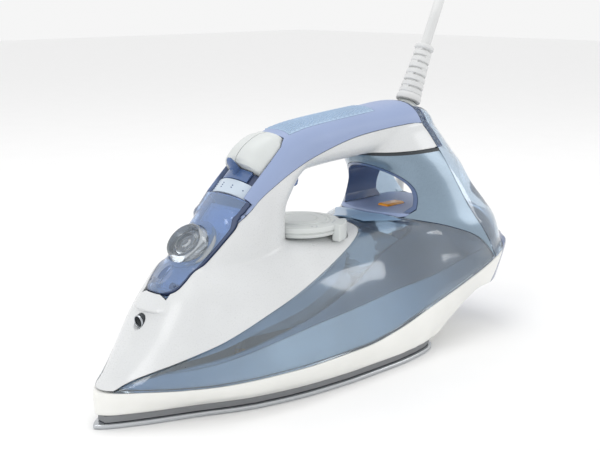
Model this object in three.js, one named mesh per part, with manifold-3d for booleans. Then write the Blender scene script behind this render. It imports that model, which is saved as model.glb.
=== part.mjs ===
// Steam iron, in millimetres, +Z up, nose towards -X.
// Every panel is cut from one shared outer form, so neighbours meet flush across a fine gap.
import * as THREE from 'three';
import { mergeVertices } from 'three/addons/utils/BufferGeometryUtils.js';
import Module from 'manifold-3d';

const wasm = await Module();
wasm.setup();

// ---- driving dimensions ---------------------------------------------------
const SHIFT_X = -6.5; // brings the middle of the iron's length to x = 0
const GAP = 0.35; // parting gap between neighbouring panels
const WALL = 2.4; // moulded wall thickness
const FAR = 90; // beyond the sides of the iron, for cutting shapes
const NOSE_X = -158;
const SOLE_REAR_X = 80;
const SOLE_THICK = 2.6;
const CASTING_TOP = 12;
const SKIRT_BOTTOM = 7;
const SHELF_Z = 84.5;
const DIAL = { x: -1, z: 85.2, radius: 26, thick: 6.5, grip: 4 };
const TUNNEL = { floor: 86.6, half: 27.5, apex: 118, front: 40, rear: 185 };
const SLOPE = { x: -114, z: 70, angle: THREE.MathUtils.degToRad(43.5) }; // crown line of the door
const CORD_RADIUS = 3.5;
const COIL = { x: 62, y: 125, mean: 41, width: 28, height: 14.4 };
const ENTRY_TURN = THREE.MathUtils.degToRad(-75); // where the lead runs in to the coil
const EXIT_TURN = THREE.MathUtils.degToRad(66); // where its last turn leaves for the plug
const GUARD = { x: 101, z: 152, lean: THREE.MathUtils.degToRad(25.5), length: 47 };
const RING_SIDES = 12;
const NOZZLE = { front: [-126, 0, 53.6], rear: [-100, 0, 57] };
const VALVE_X = -52;
const SPOUT_AT = 44; // filler spout, up the slope from the door's lower end
const LEVER_HALF_ANGLE = 0.45;
const BARREL = { radius: 24, half: 15.6 }; // round crown of the controls above the door

// ---- finishes --------------------------------------------------------------
const finish = (color, roughness, metalness = 0) =>
  new THREE.MeshStandardMaterial({ color, roughness, metalness });
const WHITE = () => finish(0xe4e5e6, 0.35);
const CREAM = () => finish(0xf2f2ec, 0.4);
const LAVENDER = () => finish(0xa9b9da, 0.45);
const TANK_BLUE = () => finish(0x7f9ab6, 0.15);
const METALLIC_BLUE = () => finish(0x9fb4c4, 0.35, 0.4);
const SHELL_BLUE = () => finish(0x7f9cb8, 0.15);
const DEEP_BLUE = () => finish(0x4e5f8b, 0.35);
const DARK = () => finish(0x33383d, 0.6);
const STEEL = () => finish(0xb9bcc0, 0.3, 0.9);
const ALUMINIUM = () => finish(0x9a9da1, 0.5, 0.8);
const CLEAR_GREY = () => finish(0xb4b8bb, 0.15);
const AMBER = () => finish(0xf5a623, 0.4);
const BRASS = () => finish(0xb59a55, 0.35, 0.8);
const RUBBER = () => finish(0x3a3d40, 0.8);

const iron = new THREE.Group();
iron.name = 'steam_iron';
const datum = new THREE.Group();
datum.position.x = SHIFT_X;
iron.add(datum);

function add(name, shape, material, parent = datum) {
  const geometry = shape.isBufferGeometry ? shape : toGeometry(shape);
  const mesh = new THREE.Mesh(geometry, material);
  mesh.name = name;
  parent.add(mesh);
  return mesh;
}

// ---- solids ----------------------------------------------------------------
function toSolid(geometry) {
  const bare = geometry.clone();
  bare.deleteAttribute('normal');
  bare.deleteAttribute('uv');
  const merged = mergeVertices(bare, 1e-4);
  return new wasm.Manifold(new wasm.Mesh({
    numProp: 3,
    vertProperties: new Float32Array(merged.attributes.position.array),
    triVerts: new Uint32Array(merged.index.array),
  }));
}

function toGeometry(solid) {
  const parts = solid.decompose().sort((a, b) => b.volume() - a.volume());
  const mesh = parts[0].getMesh();
  const geometry = new THREE.BufferGeometry();
  geometry.setAttribute('position', new THREE.BufferAttribute(mesh.vertProperties, 3));
  geometry.setIndex(new THREE.BufferAttribute(mesh.triVerts, 1));
  geometry.computeVertexNormals();
  return geometry;
}

function box(x0, x1, y0, y1, z0, z1) {
  const geometry = new THREE.BoxGeometry(x1 - x0, y1 - y0, z1 - z0);
  geometry.translate((x0 + x1) / 2, (y0 + y1) / 2, (z0 + z1) / 2);
  return toSolid(geometry);
}

// A round bar from point a to point b, tapering from radius ra to rb.
function rod(a, b, ra, rb = ra, sides = 20) {
  const from = new THREE.Vector3(...a);
  const to = new THREE.Vector3(...b);
  const axis = to.clone().sub(from);
  const geometry = new THREE.CylinderGeometry(rb, ra, axis.length(), sides);
  geometry.applyQuaternion(new THREE.Quaternion().setFromUnitVectors(
    new THREE.Vector3(0, 1, 0), axis.clone().normalize()));
  geometry.translate(...from.add(to).multiplyScalar(0.5).toArray());
  return toSolid(geometry);
}

// A flat outline in X and Z, carried across Y from y0 to y1.
function sheet(points, y0 = -FAR, y1 = FAR) {
  const shape = new THREE.Shape(points.map(([x, z]) => new THREE.Vector2(x, z)));
  const geometry = new THREE.ExtrudeGeometry(shape, { depth: y1 - y0, bevelEnabled: false });
  geometry.rotateX(Math.PI / 2);
  geometry.translate(0, y1, 0);
  return toSolid(geometry);
}

// A flat outline in X and Y, carried up Z from z0 to z1.
function plate(points, z0, z1) {
  const shape = new THREE.Shape(points.map(([x, y]) => new THREE.Vector2(x, y)));
  const geometry = new THREE.ExtrudeGeometry(shape, { depth: z1 - z0, bevelEnabled: false });
  geometry.translate(0, 0, z0);
  return toSolid(geometry);
}

// A flat outline in Y and Z, carried along X from x0 to x1.
function prism(points, x0, x1) {
  const shape = new THREE.Shape(points.map(([y, z]) => new THREE.Vector2(y, z)));
  const geometry = new THREE.ExtrudeGeometry(shape, { depth: x1 - x0, bevelEnabled: false });
  geometry.rotateY(Math.PI / 2);
  geometry.rotateX(Math.PI / 2);
  geometry.translate(x0, 0, 0);
  return toSolid(geometry);
}

// Turned solid around Z from [radius, height] points that start and end on the axis.
function turned(points, sides = 24) {
  return new THREE.LatheGeometry(points.map(([r, z]) => new THREE.Vector2(r, z)), sides)
    .rotateX(Math.PI / 2);
}

// Tube along a smooth route.
function tube(route, radius, steps, sides = 10) {
  const ring = new THREE.Shape();
  for (let i = 0; i < sides; i += 1) {
    const turn = (i / sides) * 2 * Math.PI;
    const [x, y] = [radius * Math.cos(turn), radius * Math.sin(turn)];
    if (i === 0) ring.moveTo(x, y); else ring.lineTo(x, y);
  }
  const path = new THREE.CatmullRomCurve3(route.map((p) => new THREE.Vector3(...p)), false, 'centripetal');
  return new THREE.ExtrudeGeometry(ring, { steps, bevelEnabled: false, extrudePath: path });
}

// Closed skin through rings of points with equal counts.
function loft(rings) {
  const count = rings[0].length;
  const positions = rings.flat(2);
  const index = [];
  for (let r = 0; r + 1 < rings.length; r += 1) {
    for (let i = 0; i < count; i += 1) {
      const [a, b] = [r * count + i, r * count + ((i + 1) % count)];
      index.push(a, b, b + count, a, b + count, a + count);
    }
  }
  for (const [r, flip] of [[0, true], [rings.length - 1, false]]) {
    const centre = positions.length / 3;
    const ring = rings[r];
    positions.push(...[0, 1, 2].map((k) => ring.reduce((sum, p) => sum + p[k], 0) / count));
    for (let i = 0; i < count; i += 1) {
      const [a, b] = [r * count + i, r * count + ((i + 1) % count)];
      index.push(...(flip ? [centre, b, a] : [centre, a, b]));
    }
  }
  const geometry = new THREE.BufferGeometry();
  geometry.setAttribute('position', new THREE.Float32BufferAttribute(positions, 3));
  geometry.setIndex(index);
  return toSolid(geometry);
}

// Smooth curve v(x) through [x, v] knots without overshoot.
function through(knots) {
  const slopes = knots.map((knot, i) => {
    if (i === 0 || i === knots.length - 1) return 0;
    const before = (knot[1] - knots[i - 1][1]) / (knot[0] - knots[i - 1][0]);
    const after = (knots[i + 1][1] - knot[1]) / (knots[i + 1][0] - knot[0]);
    return before * after <= 0 ? 0 : (2 * before * after) / (before + after);
  });
  return (x) => {
    const last = knots.length - 2;
    let i = knots.findIndex((knot, k) => k <= last && x <= knots[k + 1][0]);
    if (i < 0) i = last;
    const span = knots[i + 1][0] - knots[i][0];
    const t = THREE.MathUtils.clamp((x - knots[i][0]) / span, 0, 1);
    const [v0, v1] = [knots[i][1], knots[i + 1][1]];
    return v0 * (2 * t ** 3 - 3 * t ** 2 + 1) + span * slopes[i] * (t ** 3 - 2 * t ** 2 + t)
      + v1 * (3 * t ** 2 - 2 * t ** 3) + span * slopes[i + 1] * (t ** 3 - t ** 2);
  };
}

const smooth = (points, count = 14) => new THREE.SplineCurve(points.map((p) => new THREE.Vector2(...p)))
  .getPoints(count).map((p) => [p.x, p.y]);

// ---- outer form -------------------------------------------------------------
const soleHalf = through([[NOSE_X, 0.5], [-155.5, 3.6], [-141, 12.5], [-108, 27.5], [-75, 42.5],
  [-35, 51.5], [0, 54.5], [35, 55], [62, 52.5], [75, 48.5], [SOLE_REAR_X, 45]]);
const waistHalf = through([[-157, 1.5], [-153, 6.5], [-141, 17.5], [-120, 34], [-100, 44.5], [-75, 51.5],
  [-39, 56.5], [0, 57], [60, 56.5], [110, 55.5], [140, 54], [160, 47], [171, 36]]);
const waistZ = through([[-157, 18], [-153, 20.5], [0, 21.5], [30, 25], [67, 33.5], [89, 38.5], [111, 44],
  [128, 48.5], [146, 54.5], [171, 60]]);
const bottomZ = through([[-157, SKIRT_BOTTOM], [75, SKIRT_BOTTOM], [95, 16.5], [114, 25.5], [128, 30],
  [150, 31.5], [171, 46]]);
const shoulderHalf = through([[-157, 0.8], [-153, 3], [-133, 11], [-108, 18], [-60, 20], [-20, 22.5],
  [35, 24], [70, 36], [140, 44], [171, 30]]);
const shoulderZ = through([[-157, 19], [-153, 21.8], [-142, 29], [-133, 38], [-120, 55], [-108, 68],
  [-95, 79], [-80, 80.5], [40, 80.5], [70, 83], [100, 78], [140, 66], [171, 64]]);
const crownZ = through([[-157, 19.5], [-153, 22.5], [-142, 32], [-133, 43], [-122, 60], [-108, 77.5],
  [-98, 84], [-85, SHELF_Z], [60, SHELF_Z + 1.4], [75, SHELF_Z + 1.6], [100, 82], [140, 70], [171, 66]]);
const BODY_X = [-157, -155.5, -153, -147, -140, -130, -119, -108, -97, -85, -70, -50, -25, 0, 25, 50,
  70, 75, 85, 100, 115, 130, 145, 158, 166, 171];

function bodyRing(x, inset) {
  const foot = Math.max(x > SOLE_REAR_X - 5 ? waistHalf(x) - 7 : Math.min(soleHalf(x),
    waistHalf(x) - 1.5), 0.8);
  const side = new THREE.SplineCurve([
    [foot, bottomZ(x)],
    [waistHalf(x), waistZ(x)],
    [THREE.MathUtils.lerp(waistHalf(x), shoulderHalf(x), 0.45), THREE.MathUtils.lerp(waistZ(x),
      shoulderZ(x), 0.6)],
    [shoulderHalf(x), shoulderZ(x)],
    [0, crownZ(x)],
  ].map((p) => new THREE.Vector2(...p)));
  const half = side.getPoints(9).map((p) => {
    const middle = (bottomZ(x) + crownZ(x)) / 2;
    const shrinkY = Math.max(1 - inset / waistHalf(x), 0.05);
    const shrinkZ = Math.max(1 - (2 * inset) / (crownZ(x) - bottomZ(x)), 0.05);
    return [p.x * shrinkY, middle + (p.y - middle) * shrinkZ];
  });
  const right = half.map(([y, z]) => [x, y, z]);
  const left = half.slice(0, -1).reverse().map(([y, z]) => [x, -y, z]);
  return [...right, ...left];
}

function body(inset = 0) {
  const trim = inset * 1.8;
  const stations = BODY_X.filter((x) => x > BODY_X[0] + trim && x < BODY_X.at(-1) - trim);
  const ends = inset ? [BODY_X[0] + trim, BODY_X.at(-1) - trim] : [BODY_X[0], BODY_X.at(-1)];
  return loft([ends[0], ...stations, ends[1]].map((x) => bodyRing(x, inset)));
}

// Rounded-square ring in a level plane.
function levelRing(z, front, rear, half, power, sides = 28) {
  const ring = [];
  for (let i = 0; i < sides; i += 1) {
    const turn = (i / sides) * 2 * Math.PI;
    const [c, s] = [Math.cos(turn), Math.sin(turn)];
    ring.push([(front + rear) / 2 + ((rear - front) / 2) * Math.sign(c) * Math.abs(c) ** (2 / power),
      half * Math.sign(s) * Math.abs(s) ** (2 / power), z]);
  }
  return ring;
}

const doorLineX = (z) => SLOPE.x + (z - SLOPE.z) / Math.tan(SLOPE.angle);
const neckHalf = through([[60, 25], [76, 22], [90, 20.5], [118, 20], [140, 18]]);
const neckRear = through([[60, -6], [78, -17], [86, -20.5], [104, -21], [116, -15], [140, 0]]);

function neck(inset = 0) {
  const levels = [60, 68, 76, 84, 92, 100, 108, 116, 122];
  return loft(levels.map((z) => levelRing(z, doorLineX(z) + inset * 1.4, neckRear(z) - inset,
    neckHalf(z) - inset, 2.5)));
}

const barTop = through([[-72, 109.8], [-62, 119.4], [-50, 130.8], [-38, 142], [-28, 148.3], [-18, 151],
  [0, 153.8], [30, 156.5],
  [60, 158.5], [85, 160], [100, 158.5], [112, 152], [118, 146]]);
const barBottom = through([[-72, 97], [-60, 100], [-35, 107], [-20, 115], [-8, 123.5], [10, 125.5], [40,
  127],
  [80, 128], [100, 130], [118, 134]]);
const barHalf = through([[-72, 18.5], [-50, 20], [-20, 19.5], [30, 18.5], [60, 19.5], [85, 21], [105,
  19], [118, 14]]);

function bar(inset = 0, sides = 20) {
  const stations = [-72, -66, -58, -48, -36, -24, -14, -4, 8, 25, 45, 65, 82, 95, 105, 113, 118];
  return loft(stations.map((x) => {
    const [low, high] = [barBottom(x) + inset, barTop(x) - inset];
    const ring = [];
    for (let i = 0; i < sides; i += 1) {
      const turn = (i / sides) * 2 * Math.PI;
      const [c, s] = [Math.cos(turn), Math.sin(turn)];
      ring.push([x, (barHalf(x) - inset) * Math.sign(c) * Math.abs(c) ** 0.8,
        (low + high) / 2 + ((high - low) / 2) * Math.sign(s) * Math.abs(s) ** 0.85]);
    }
    return ring;
  }));
}

const columnFront = through([[30, 120], [45, 96], [60, 80], [75, 70], [84, 62], [92, 64], [104, 65],
  [116, 60],
  [127, 52], [140, 56], [156, 74]]);
const columnRear = through([[30, 160], [45, 168.5], [62, 171.5], [76, 170], [90, 163.5], [110, 148],
  [127, 133],
  [140, 122], [150, 112], [156, 104]]);
const columnHalf = through([[30, 47], [45, 52.5], [60, 54], [75, 51], [88, 45], [100, 40], [112, 35.5],
  [127, 30],
  [140, 24.5], [156, 15]]);
const COLUMN_Z = [31, 38, 46, 54, 62, 70, 78, 86, 94, 102, 110, 118, 127, 135, 142, 149, 156];

function column(inset = 0) {
  return loft(COLUMN_Z.map((z) => levelRing(z, columnFront(z) + inset, columnRear(z) - inset,
    columnHalf(z) - inset, 2.35, 32)));
}

// Round-headed outline of the tunnel under the back of the handle, in Y and Z.
function archOutline(grow = 0) {
  const [half, floor, apex] = [TUNNEL.half + grow, TUNNEL.floor - grow, TUNNEL.apex + grow];
  const points = [[-half + 5, floor], [half - 5, floor]];
  for (let i = 0; i <= RING_SIDES; i += 1) {
    const turn = (i / RING_SIDES) * Math.PI;
    points.push([half * Math.cos(turn), floor + 5 + (apex - floor - 5) * Math.sin(turn) ** 0.9]);
  }
  return points;
}
const tunnel = (grow = 0) => prism(archOutline(grow), TUNNEL.front, TUNNEL.rear);

const outer = body().add(neck()).add(bar()).add(column());
const inner = body(WALL).add(neck(WALL)).add(bar(WALL)).add(column(WALL));

// ---- parting lines, all drawn in side view -----------------------------------
const COWL_LINE = smooth([[-150, 21.5], [-135, 29], [-112, 38.5], [-78, 49], [-36, 60.5], [5, 73], [28,
  80.5],
  [37, 84], [42, 90]]);
const GRIP_LINE = smooth([[-68, 103], [-60, 108], [-47, 117.5], [-16, 131], [28, 142], [77, 146.5], [94,
  146]]);
const FOOT_X = 137; // where tank, post, rear shell and skirt meet
const SKIRT_X = [-162, -153, -100, 0, 30, 67, 89, 111, 128, 146, 157];
const skirtLine = SKIRT_X.map((x) => [x, waistZ(x)]);
const POST_FOOT = smooth([[44, 87.2], [60, 87], [74, 85], [96, 79], [119, 69], [FOOT_X,
  waistZ(FOOT_X) + 1]]);
const SEAM = smooth([[FOOT_X, waistZ(FOOT_X) + 1], [128, 68], [118, 87], [106, 119], [102, 128], [92,
  149], [88, 162]]);
const HEEL_LINE = smooth([[149, 20], [151, 30], [153.5, 45], [156.5, 58], [165, 67], [176, 81]], 12);
const RING_Z = 127.5;
const DOOR = { low: -2, high: 69, half: 18.6, thick: 3 }; // along the slope from its lower end
const DOOR_PIN = { u: 3, w: -6.6, half: 9, sweep: 8.75 }; // sweep clears the door's lower edge as it opens
const PLUG_AT = 30;

const moved = (points, dx, dz) => points.map(([x, z]) => [x + dx, z + dz]);
const skin = (region) => outer.intersect(region).subtract(inner);

// The slope group carries what follows the door line: u runs up it, w stands off it.
const slope = new THREE.Group();
slope.position.set(SLOPE.x, 0, SLOPE.z);
slope.rotation.y = -SLOPE.angle;
datum.add(slope);
slope.updateMatrix();
const onto = (solid) => solid.transform(slope.matrix.toArray());
const slopePoint = (u, y, w) => new THREE.Vector3(u, y, w).applyMatrix4(slope.matrix).toArray();
const fromWorld = (solid) => solid.transform(slope.matrix.clone().invert().toArray());

function doorOutline(grow) {
  const [half, low, high] = [DOOR.half + grow, DOOR.low - grow, DOOR.high + grow];
  const tip = [];
  for (let i = 0; i <= 10; i += 1) {
    const turn = Math.PI / 2 + (i / 10) * Math.PI;
    tip.push([low + 13 + 13 * Math.cos(turn), half * Math.sin(turn)]);
  }
  return [[high, half], ...tip, [high, -half]];
}

// ---- sole, casting and steam works --------------------------------------------
function soleOutline(inset) {
  const half = [];
  const nose = NOSE_X + inset * 2.2;
  for (const x of [nose, -155, -150, -141, -125, -108, -90, -75, -55, -35, -10, 15, 35, 55, 66, 75]) {
    if (x > nose + 0.1 || x === nose) half.push([x, Math.max(soleHalf(x) - inset, 0.4)]);
  }
  half.push([SOLE_REAR_X - inset, soleHalf(SOLE_REAR_X) - inset - 2]);
  return [...half.map(([x, y]) => [x, -y]), ...half.reverse()];
}

function soleplate() {
  let solid = plate(soleOutline(0), 0.8, SOLE_THICK).add(plate(soleOutline(0.9), 0, 0.8));
  for (const row of [0, 1]) {
    for (let i = 0; i < 9; i += 1) {
      const x = -132 + i * 19 + row * 9;
      const y = Math.max(soleHalf(x) - 12 - row * 8, 2.6);
      for (const side of [-1, 1]) {
        solid = solid.subtract(rod([x, side * y, -1], [x, side * y, SOLE_THICK + 1], 1.6, 1.6, 8));
      }
    }
  }
  return solid;
}

function heaterCasting() {
  const rim = plate(soleOutline(5), SOLE_THICK + GAP, 5.8);
  const slab = plate(soleOutline(12), 5.6, CASTING_TOP);
  const groove = tubeGroove(4.2);
  return rim.add(slab).subtract(groove).subtract(box(-80, 20, -9, 9, 8, CASTING_TOP + 1));
}

const ELEMENT_ROUTE = [[66, -30, 11], [20, -34, 11], [-40, -32, 11], [-90, -18, 11], [-112, 0, 11],
  [-90, 18, 11], [-40, 32, 11], [20, 34, 11], [66, 30, 11]];
const tubeGroove = (radius) => toSolid(tube(ELEMENT_ROUTE, radius, 28, 8));

function innerSkirt(inset) {
  return body(inset).intersect(sheet([...skirtLine.map(([x, z]) => [x, z - WALL]).reverse(), [-170, 0],
    [160, 0]]));
}

function skirt() {
  const region = sheet([...skirtLine, [157, 0], [-170, 0]]).subtract(heelZone(GAP));
  const hollow = innerSkirt(3).add(plate(soleOutline(4.5), 0, CASTING_TOP));
  return outer.intersect(region).subtract(hollow)
    .subtract(rod([VALVE_X, 0, 10], [VALVE_X, 0, 30], 4.2))
    .subtract(rod([DIAL.x, 0, 10], [DIAL.x, 0, 30], 4.4))
    .subtract(box(64, 72, -6, 6, 10, 30));
}

// ---- water tank ----------------------------------------------------------------
const TANK_TOP = 66;
function tankRegion(grow) {
  return sheet([...moved(COWL_LINE, 0, -GAP - grow), [43, 86.4 - grow], ...moved(POST_FOOT, 0,
    -GAP - grow).slice(1),
    ...skirtLine.filter(([x]) => x > -150 && x < FOOT_X - 2).map(([x, z]) => [x, z + GAP + grow])
      .reverse()]);
}

function waterTank() {
  const upper = sheet([[-104, 24], [-104, 52], [-60, TANK_TOP], [40, TANK_TOP], [40, 40]]);
  const shell = outer.intersect(tankRegion(0)).add(body(WALL + 0.6).intersect(upper));
  const cavity = body(WALL + 2.4).intersect(sheet([[-98, 28], [-96, 45], [-60, TANK_TOP - 2.4], [40,
    TANK_TOP - 2.4],
    [48, 80], [70, 79], [88, 74], [112, 64], [125, 56], [118, 49.5], [89, 42], [67, 37], [30, 29], [0,
      25.6]]));
  const sleeves = rod([VALVE_X, 0, 27], [VALVE_X, 0, TANK_TOP - 1], 6.2).add(rod([DIAL.x, 0, 27],
    [DIAL.x, 0, TANK_TOP - 1], 6.6))
    .add(box(61.6, 74.4, -8.4, 8.4, 37, 83));
  return shell.subtract(cavity).add(sleeves)
    .subtract(rod([VALVE_X, 0, 15], [VALVE_X, 0, 90], 4.2))
    .subtract(rod([DIAL.x, 0, 15], [DIAL.x, 0, 90], 4.6))
    .subtract(onto(rod([SPOUT_AT, 0, -60], [SPOUT_AT, 0, 0], 7.2)))
    .subtract(box(18, 42, -16, 16, TANK_TOP - 0.2, 90))
    .subtract(box(64, 72, -6, 6, 15, 90))
    .subtract(column(-GAP).intersect(sheet([...POST_FOOT, [150, 40], [150, 120], [44, 120]])));
}

// ---- shells -------------------------------------------------------------------
function handleShell() {
  const region = sheet([...moved(COWL_LINE, 0, GAP), [43, 90], [43, RING_Z + 1.7],
    ...SEAM.filter(([, z]) => z > RING_Z + 1.7 && z < 146), ...moved(GRIP_LINE, 0, -GAP).reverse(), [-76,
      103], [-160, 60], [-165, 21]]);
  const sweep = rod([DOOR_PIN.u, -17, DOOR_PIN.w], [DOOR_PIN.u, 17, DOOR_PIN.w], DOOR_PIN.sweep,
    DOOR_PIN.sweep, 48);
  const doorSeat = onto(plate(doorOutline(GAP), -15, 30).add(sweep));
  const dialRoom = rod([DIAL.x, 0, DIAL.z - 0.6], [DIAL.x, 0, DIAL.z + 8.4], DIAL.radius + 0.7,
    DIAL.radius + 0.7, 40);
  const turns = [-118, -60, 0, 44].map(THREE.MathUtils.degToRad);
  const shoeRoom = rod([DIAL.x, 0, DIAL.z - 5], [DIAL.x, 0, DIAL.z + 8], DIAL.radius + DIAL.grip + 0.7,
    DIAL.radius + DIAL.grip + 0.7, 40).subtract(rod([DIAL.x, 0, 60], [DIAL.x, 0, 120], DIAL.radius - 2.7,
      DIAL.radius - 2.7, 40))
    .intersect(plate([[DIAL.x, 0], ...turns.map((turn) => [DIAL.x + 60 * Math.cos(turn),
      60 * Math.sin(turn)])], 60, 120));
  return skin(region).subtract(doorSeat).subtract(dialRoom).subtract(shoeRoom)
    .subtract(rod(NOZZLE.front, NOZZLE.rear, 3.6))
    .subtract(rod([DIAL.x, 0, 70], [DIAL.x, 0, 100], 4.6))
    .subtract(box(-18.5, -5.5, -6.2, 6.2, 105, 135));
}

function gripCover() {
  const region = sheet([...GRIP_LINE, [97, 150], [92, 158], [89, 165], [-40, 170], [-76, 122], [-76, 103]]);
  const barrel = onto(box(DOOR.high - 20, 118, -BARREL.half - GAP, BARREL.half + GAP, -10, 30));
  return skin(region).subtract(barrel).subtract(onto(plate(doorOutline(GAP), -15, 30)))
    .subtract(padRegion(GAP)).subtract(sheet([...moved(SEAM, GAP, 0), [200, 162], [200, 40]]));
}

function padRegion(grow) {
  return box(-4 - grow, 80 + grow, -11.5 - grow, 11.5 + grow, 140, 190)
    .subtract(bar(1.2 + grow));
}

const guardRoom = () => box(GUARD.x - 9, GUARD.x + 18, -14, 14, GUARD.z - 9.5, 175);

function gripPad() {
  return outer.intersect(padRegion(0)).subtract(bar(1.2));
}

function seamRing() {
  return column(0.4).intersect(box(30, 101.5, -FAR, FAR, RING_Z + 0.1, RING_Z + 1.4)).subtract(column(3.4));
}

function rearPost() {
  const region = sheet([[40, 87.4], ...POST_FOOT, ...SEAM.filter(([, z]) => z < RING_Z), [101.5,
    RING_Z - 0.2],
    [40, RING_Z - 0.2]]);
  return column().intersect(region).subtract(column(WALL + 0.2)).subtract(tunnel(2.2))
    .subtract(bar(-GAP)).subtract(box(40, 66, -36, 36, 80, 89.4));
}

function tunnelLiner() {
  const clip = column(0.2).intersect(box(50, 110, -FAR, FAR, 80, 122));
  return tunnel(1.9).subtract(tunnel(0)).intersect(clip).subtract(box(0, 200, -FAR, FAR, 60,
    TUNNEL.floor + 2.6));
}

function tunnelFloor() {
  const outline = smooth([[64, -24], [62, 0], [64, 24], [74, 26.5], [112, 26.5], [126, 24], [131, 0],
    [126, -24],
    [112, -26.5], [74, -26.5], [64, -24]], 28).slice(0, -1);
  return plate(outline, TUNNEL.floor, TUNNEL.floor + 2.2)
    .subtract(box(80, 100, -3.2, 3.2, 80, 95));
}

function rearShell() {
  const region = sheet([...moved(SEAM, GAP + 0.6, 0), [104, 163], [180, 120], ...moved(HEEL_LINE, -GAP,
    GAP).reverse(),
    [140.3, 40]]);
  return column().add(bar()).intersect(region).subtract(column(WALL)).subtract(tunnel(0.6))
    .subtract(guardRoom())
    .subtract(bar(WALL)).subtract(tankRegion(-GAP)).subtract(skirtZone());
}

const skirtZone = () => sheet([...skirtLine.map(([x, z]) => [x, z + GAP]), [157, 0], [-170, 0]]);
const heelZone = (grow) => sheet([...moved(HEEL_LINE, -grow, 0), [190, 90], [190, 10]]);

function heelCap() {
  const region = sheet([...HEEL_LINE, [190, 90], [190, 10]]);
  return column().add(body()).intersect(region).subtract(column(3).intersect(box(0, 168, -FAR, FAR, 36,
    90)))
    .subtract(tunnel(1));
}

function tankDeck() {
  return plate(smooth([[44.5, -19], [46, 0], [44.5, 19], [58, 27], [61, 0], [58, -27], [44.5, -19]], 20)
    .slice(0, -1),
    86.9, 88.6);
}

// ---- filling door, in the slope frame ------------------------------------------
function fillDoor() {
  const above = box(-40, 120, -FAR, FAR, -10.5, 30);
  const pane = outer.subtract(body(DOOR.thick).add(neck(DOOR.thick)).add(bar(DOOR.thick)));
  return fromWorld(pane).intersect(plate(doorOutline(0), -10, 30)).intersect(above)
    .subtract(rod([PLUG_AT, 0, -20], [PLUG_AT, 0, 20], 13.3, 13.3, 28));
}

function doorPlug() {
  return rod([PLUG_AT, 0, -6], [PLUG_AT, 0, -0.5], 9, 9, 28)
    .add(rod([PLUG_AT, 0, -2.5], [PLUG_AT, 0, 6.2], 12.9, 11.4, 28))
    .subtract(rod([PLUG_AT, 0, 3.2], [PLUG_AT, 0, 9], 9.4, 9.4, 28));
}

const doorPin = () => rod([DOOR_PIN.u, -DOOR_PIN.half, DOOR_PIN.w], [DOOR_PIN.u, DOOR_PIN.half, DOOR_PIN.w],
  1.2, 1.2, 10);

function fillTray() {
  const tray = plate(doorOutline(-2.4), -14.5, -10.9).subtract(plate(doorOutline(-4.4), -12.8, -8));
  const spout = rod([SPOUT_AT, 0, -24], [SPOUT_AT, 0, -11], 6.6);
  return tray.add(spout).subtract(rod([SPOUT_AT, 0, -40], [SPOUT_AT, 0, 0], 4.6));
}

// ---- controls on the slope --------------------------------------------------------
const barrelRod = (u0, u1, radius) => rod([u0, 0, -BARREL.radius], [u1, 0, -BARREL.radius], radius,
  radius, 56);

// Part of a tube round the barrel axis, as wide as the given half angle.
function barrelArc(u0, u1, inside, outside, halfAngle) {
  const reach = 60;
  const wedge = prism([[0, -BARREL.radius], [reach * Math.sin(halfAngle),
    reach * Math.cos(halfAngle) - BARREL.radius],
    [-reach * Math.sin(halfAngle), reach * Math.cos(halfAngle) - BARREL.radius]], u0, u1);
  return barrelRod(u0, u1, outside).subtract(barrelRod(u0 - 1, u1 + 1, inside)).intersect(wedge);
}

const scaleBand = () => barrelArc(DOOR.high + 0.7, 79.6, BARREL.radius - 2.2, BARREL.radius + 0.2, 0.7);
const leverTrack = () => barrelArc(80, 87.6, BARREL.radius - 4.4, BARREL.radius - 2.1, 0.72);

function steamLever() {
  const fin = box(82, 86.6, -1.5, 1.5, -1, 8.2).add(box(81, 87, -2.4, 2.4, -1.2, 0.6));
  return barrelArc(80.2, 87.4, BARREL.radius - 1.7, BARREL.radius + 0.1, LEVER_HALF_ANGLE).add(fin);
}

function button(side) {
  const [inside, outside] = [0.25, BARREL.half - 0.5];
  const [y0, y1] = side < 0 ? [-outside, -inside] : [inside, outside];
  const block = box(88.2, 116.5, y0, y1, -6.5, 20).intersect(barrelRod(80, 125, BARREL.radius + 2.6));
  return block.add(rod([100, side * 8, -13], [100, side * 8, -6], 2.6, 2.6, 12));
}

const buttonBezel = () => box(88, 111, -BARREL.half + 0.1, BARREL.half - 0.1, -13.2, -11.4)
  .subtract(rod([100, 8, -20], [100, 8, 0], 3.3, 3.3, 16)).subtract(rod([100, -8, -20], [100, -8, 0],
    3.3, 3.3, 16));

function coilSpring(u, y, w0, w1, radius, turns) {
  const wire = 0.45;
  const steps = turns * 8;
  const route = [];
  for (let i = 0; i <= steps; i += 1) {
    const turn = (i / 8) * 2 * Math.PI;
    route.push([u + radius * Math.cos(turn), y + radius * Math.sin(turn), w0 + wire
      + ((w1 - w0 - 2 * wire) * i) / steps]);
  }
  return tube(route, wire, steps, 5);
}

const pumpBody = (side) => rod([100, side * 8, -25], [100, side * 8, -13.6], 5.6, 5.6, 20)
  .subtract(rod([100, side * 8, -23.5], [100, side * 8, -10], 3.5, 3.5, 16));

const pumpPlunger = (side) => rod([100, side * 8, -19.5], [100, side * 8, -13.3], 3.1, 3.1, 16);

// ---- controls under the handle and on the shelf --------------------------------------
function steamTrigger() {
  return box(-17.6, -6.4, -5.6, 5.6, 114.6, 128).add(box(-19.4, -4.6, -5.6, 5.6, 128, 130));
}

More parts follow.
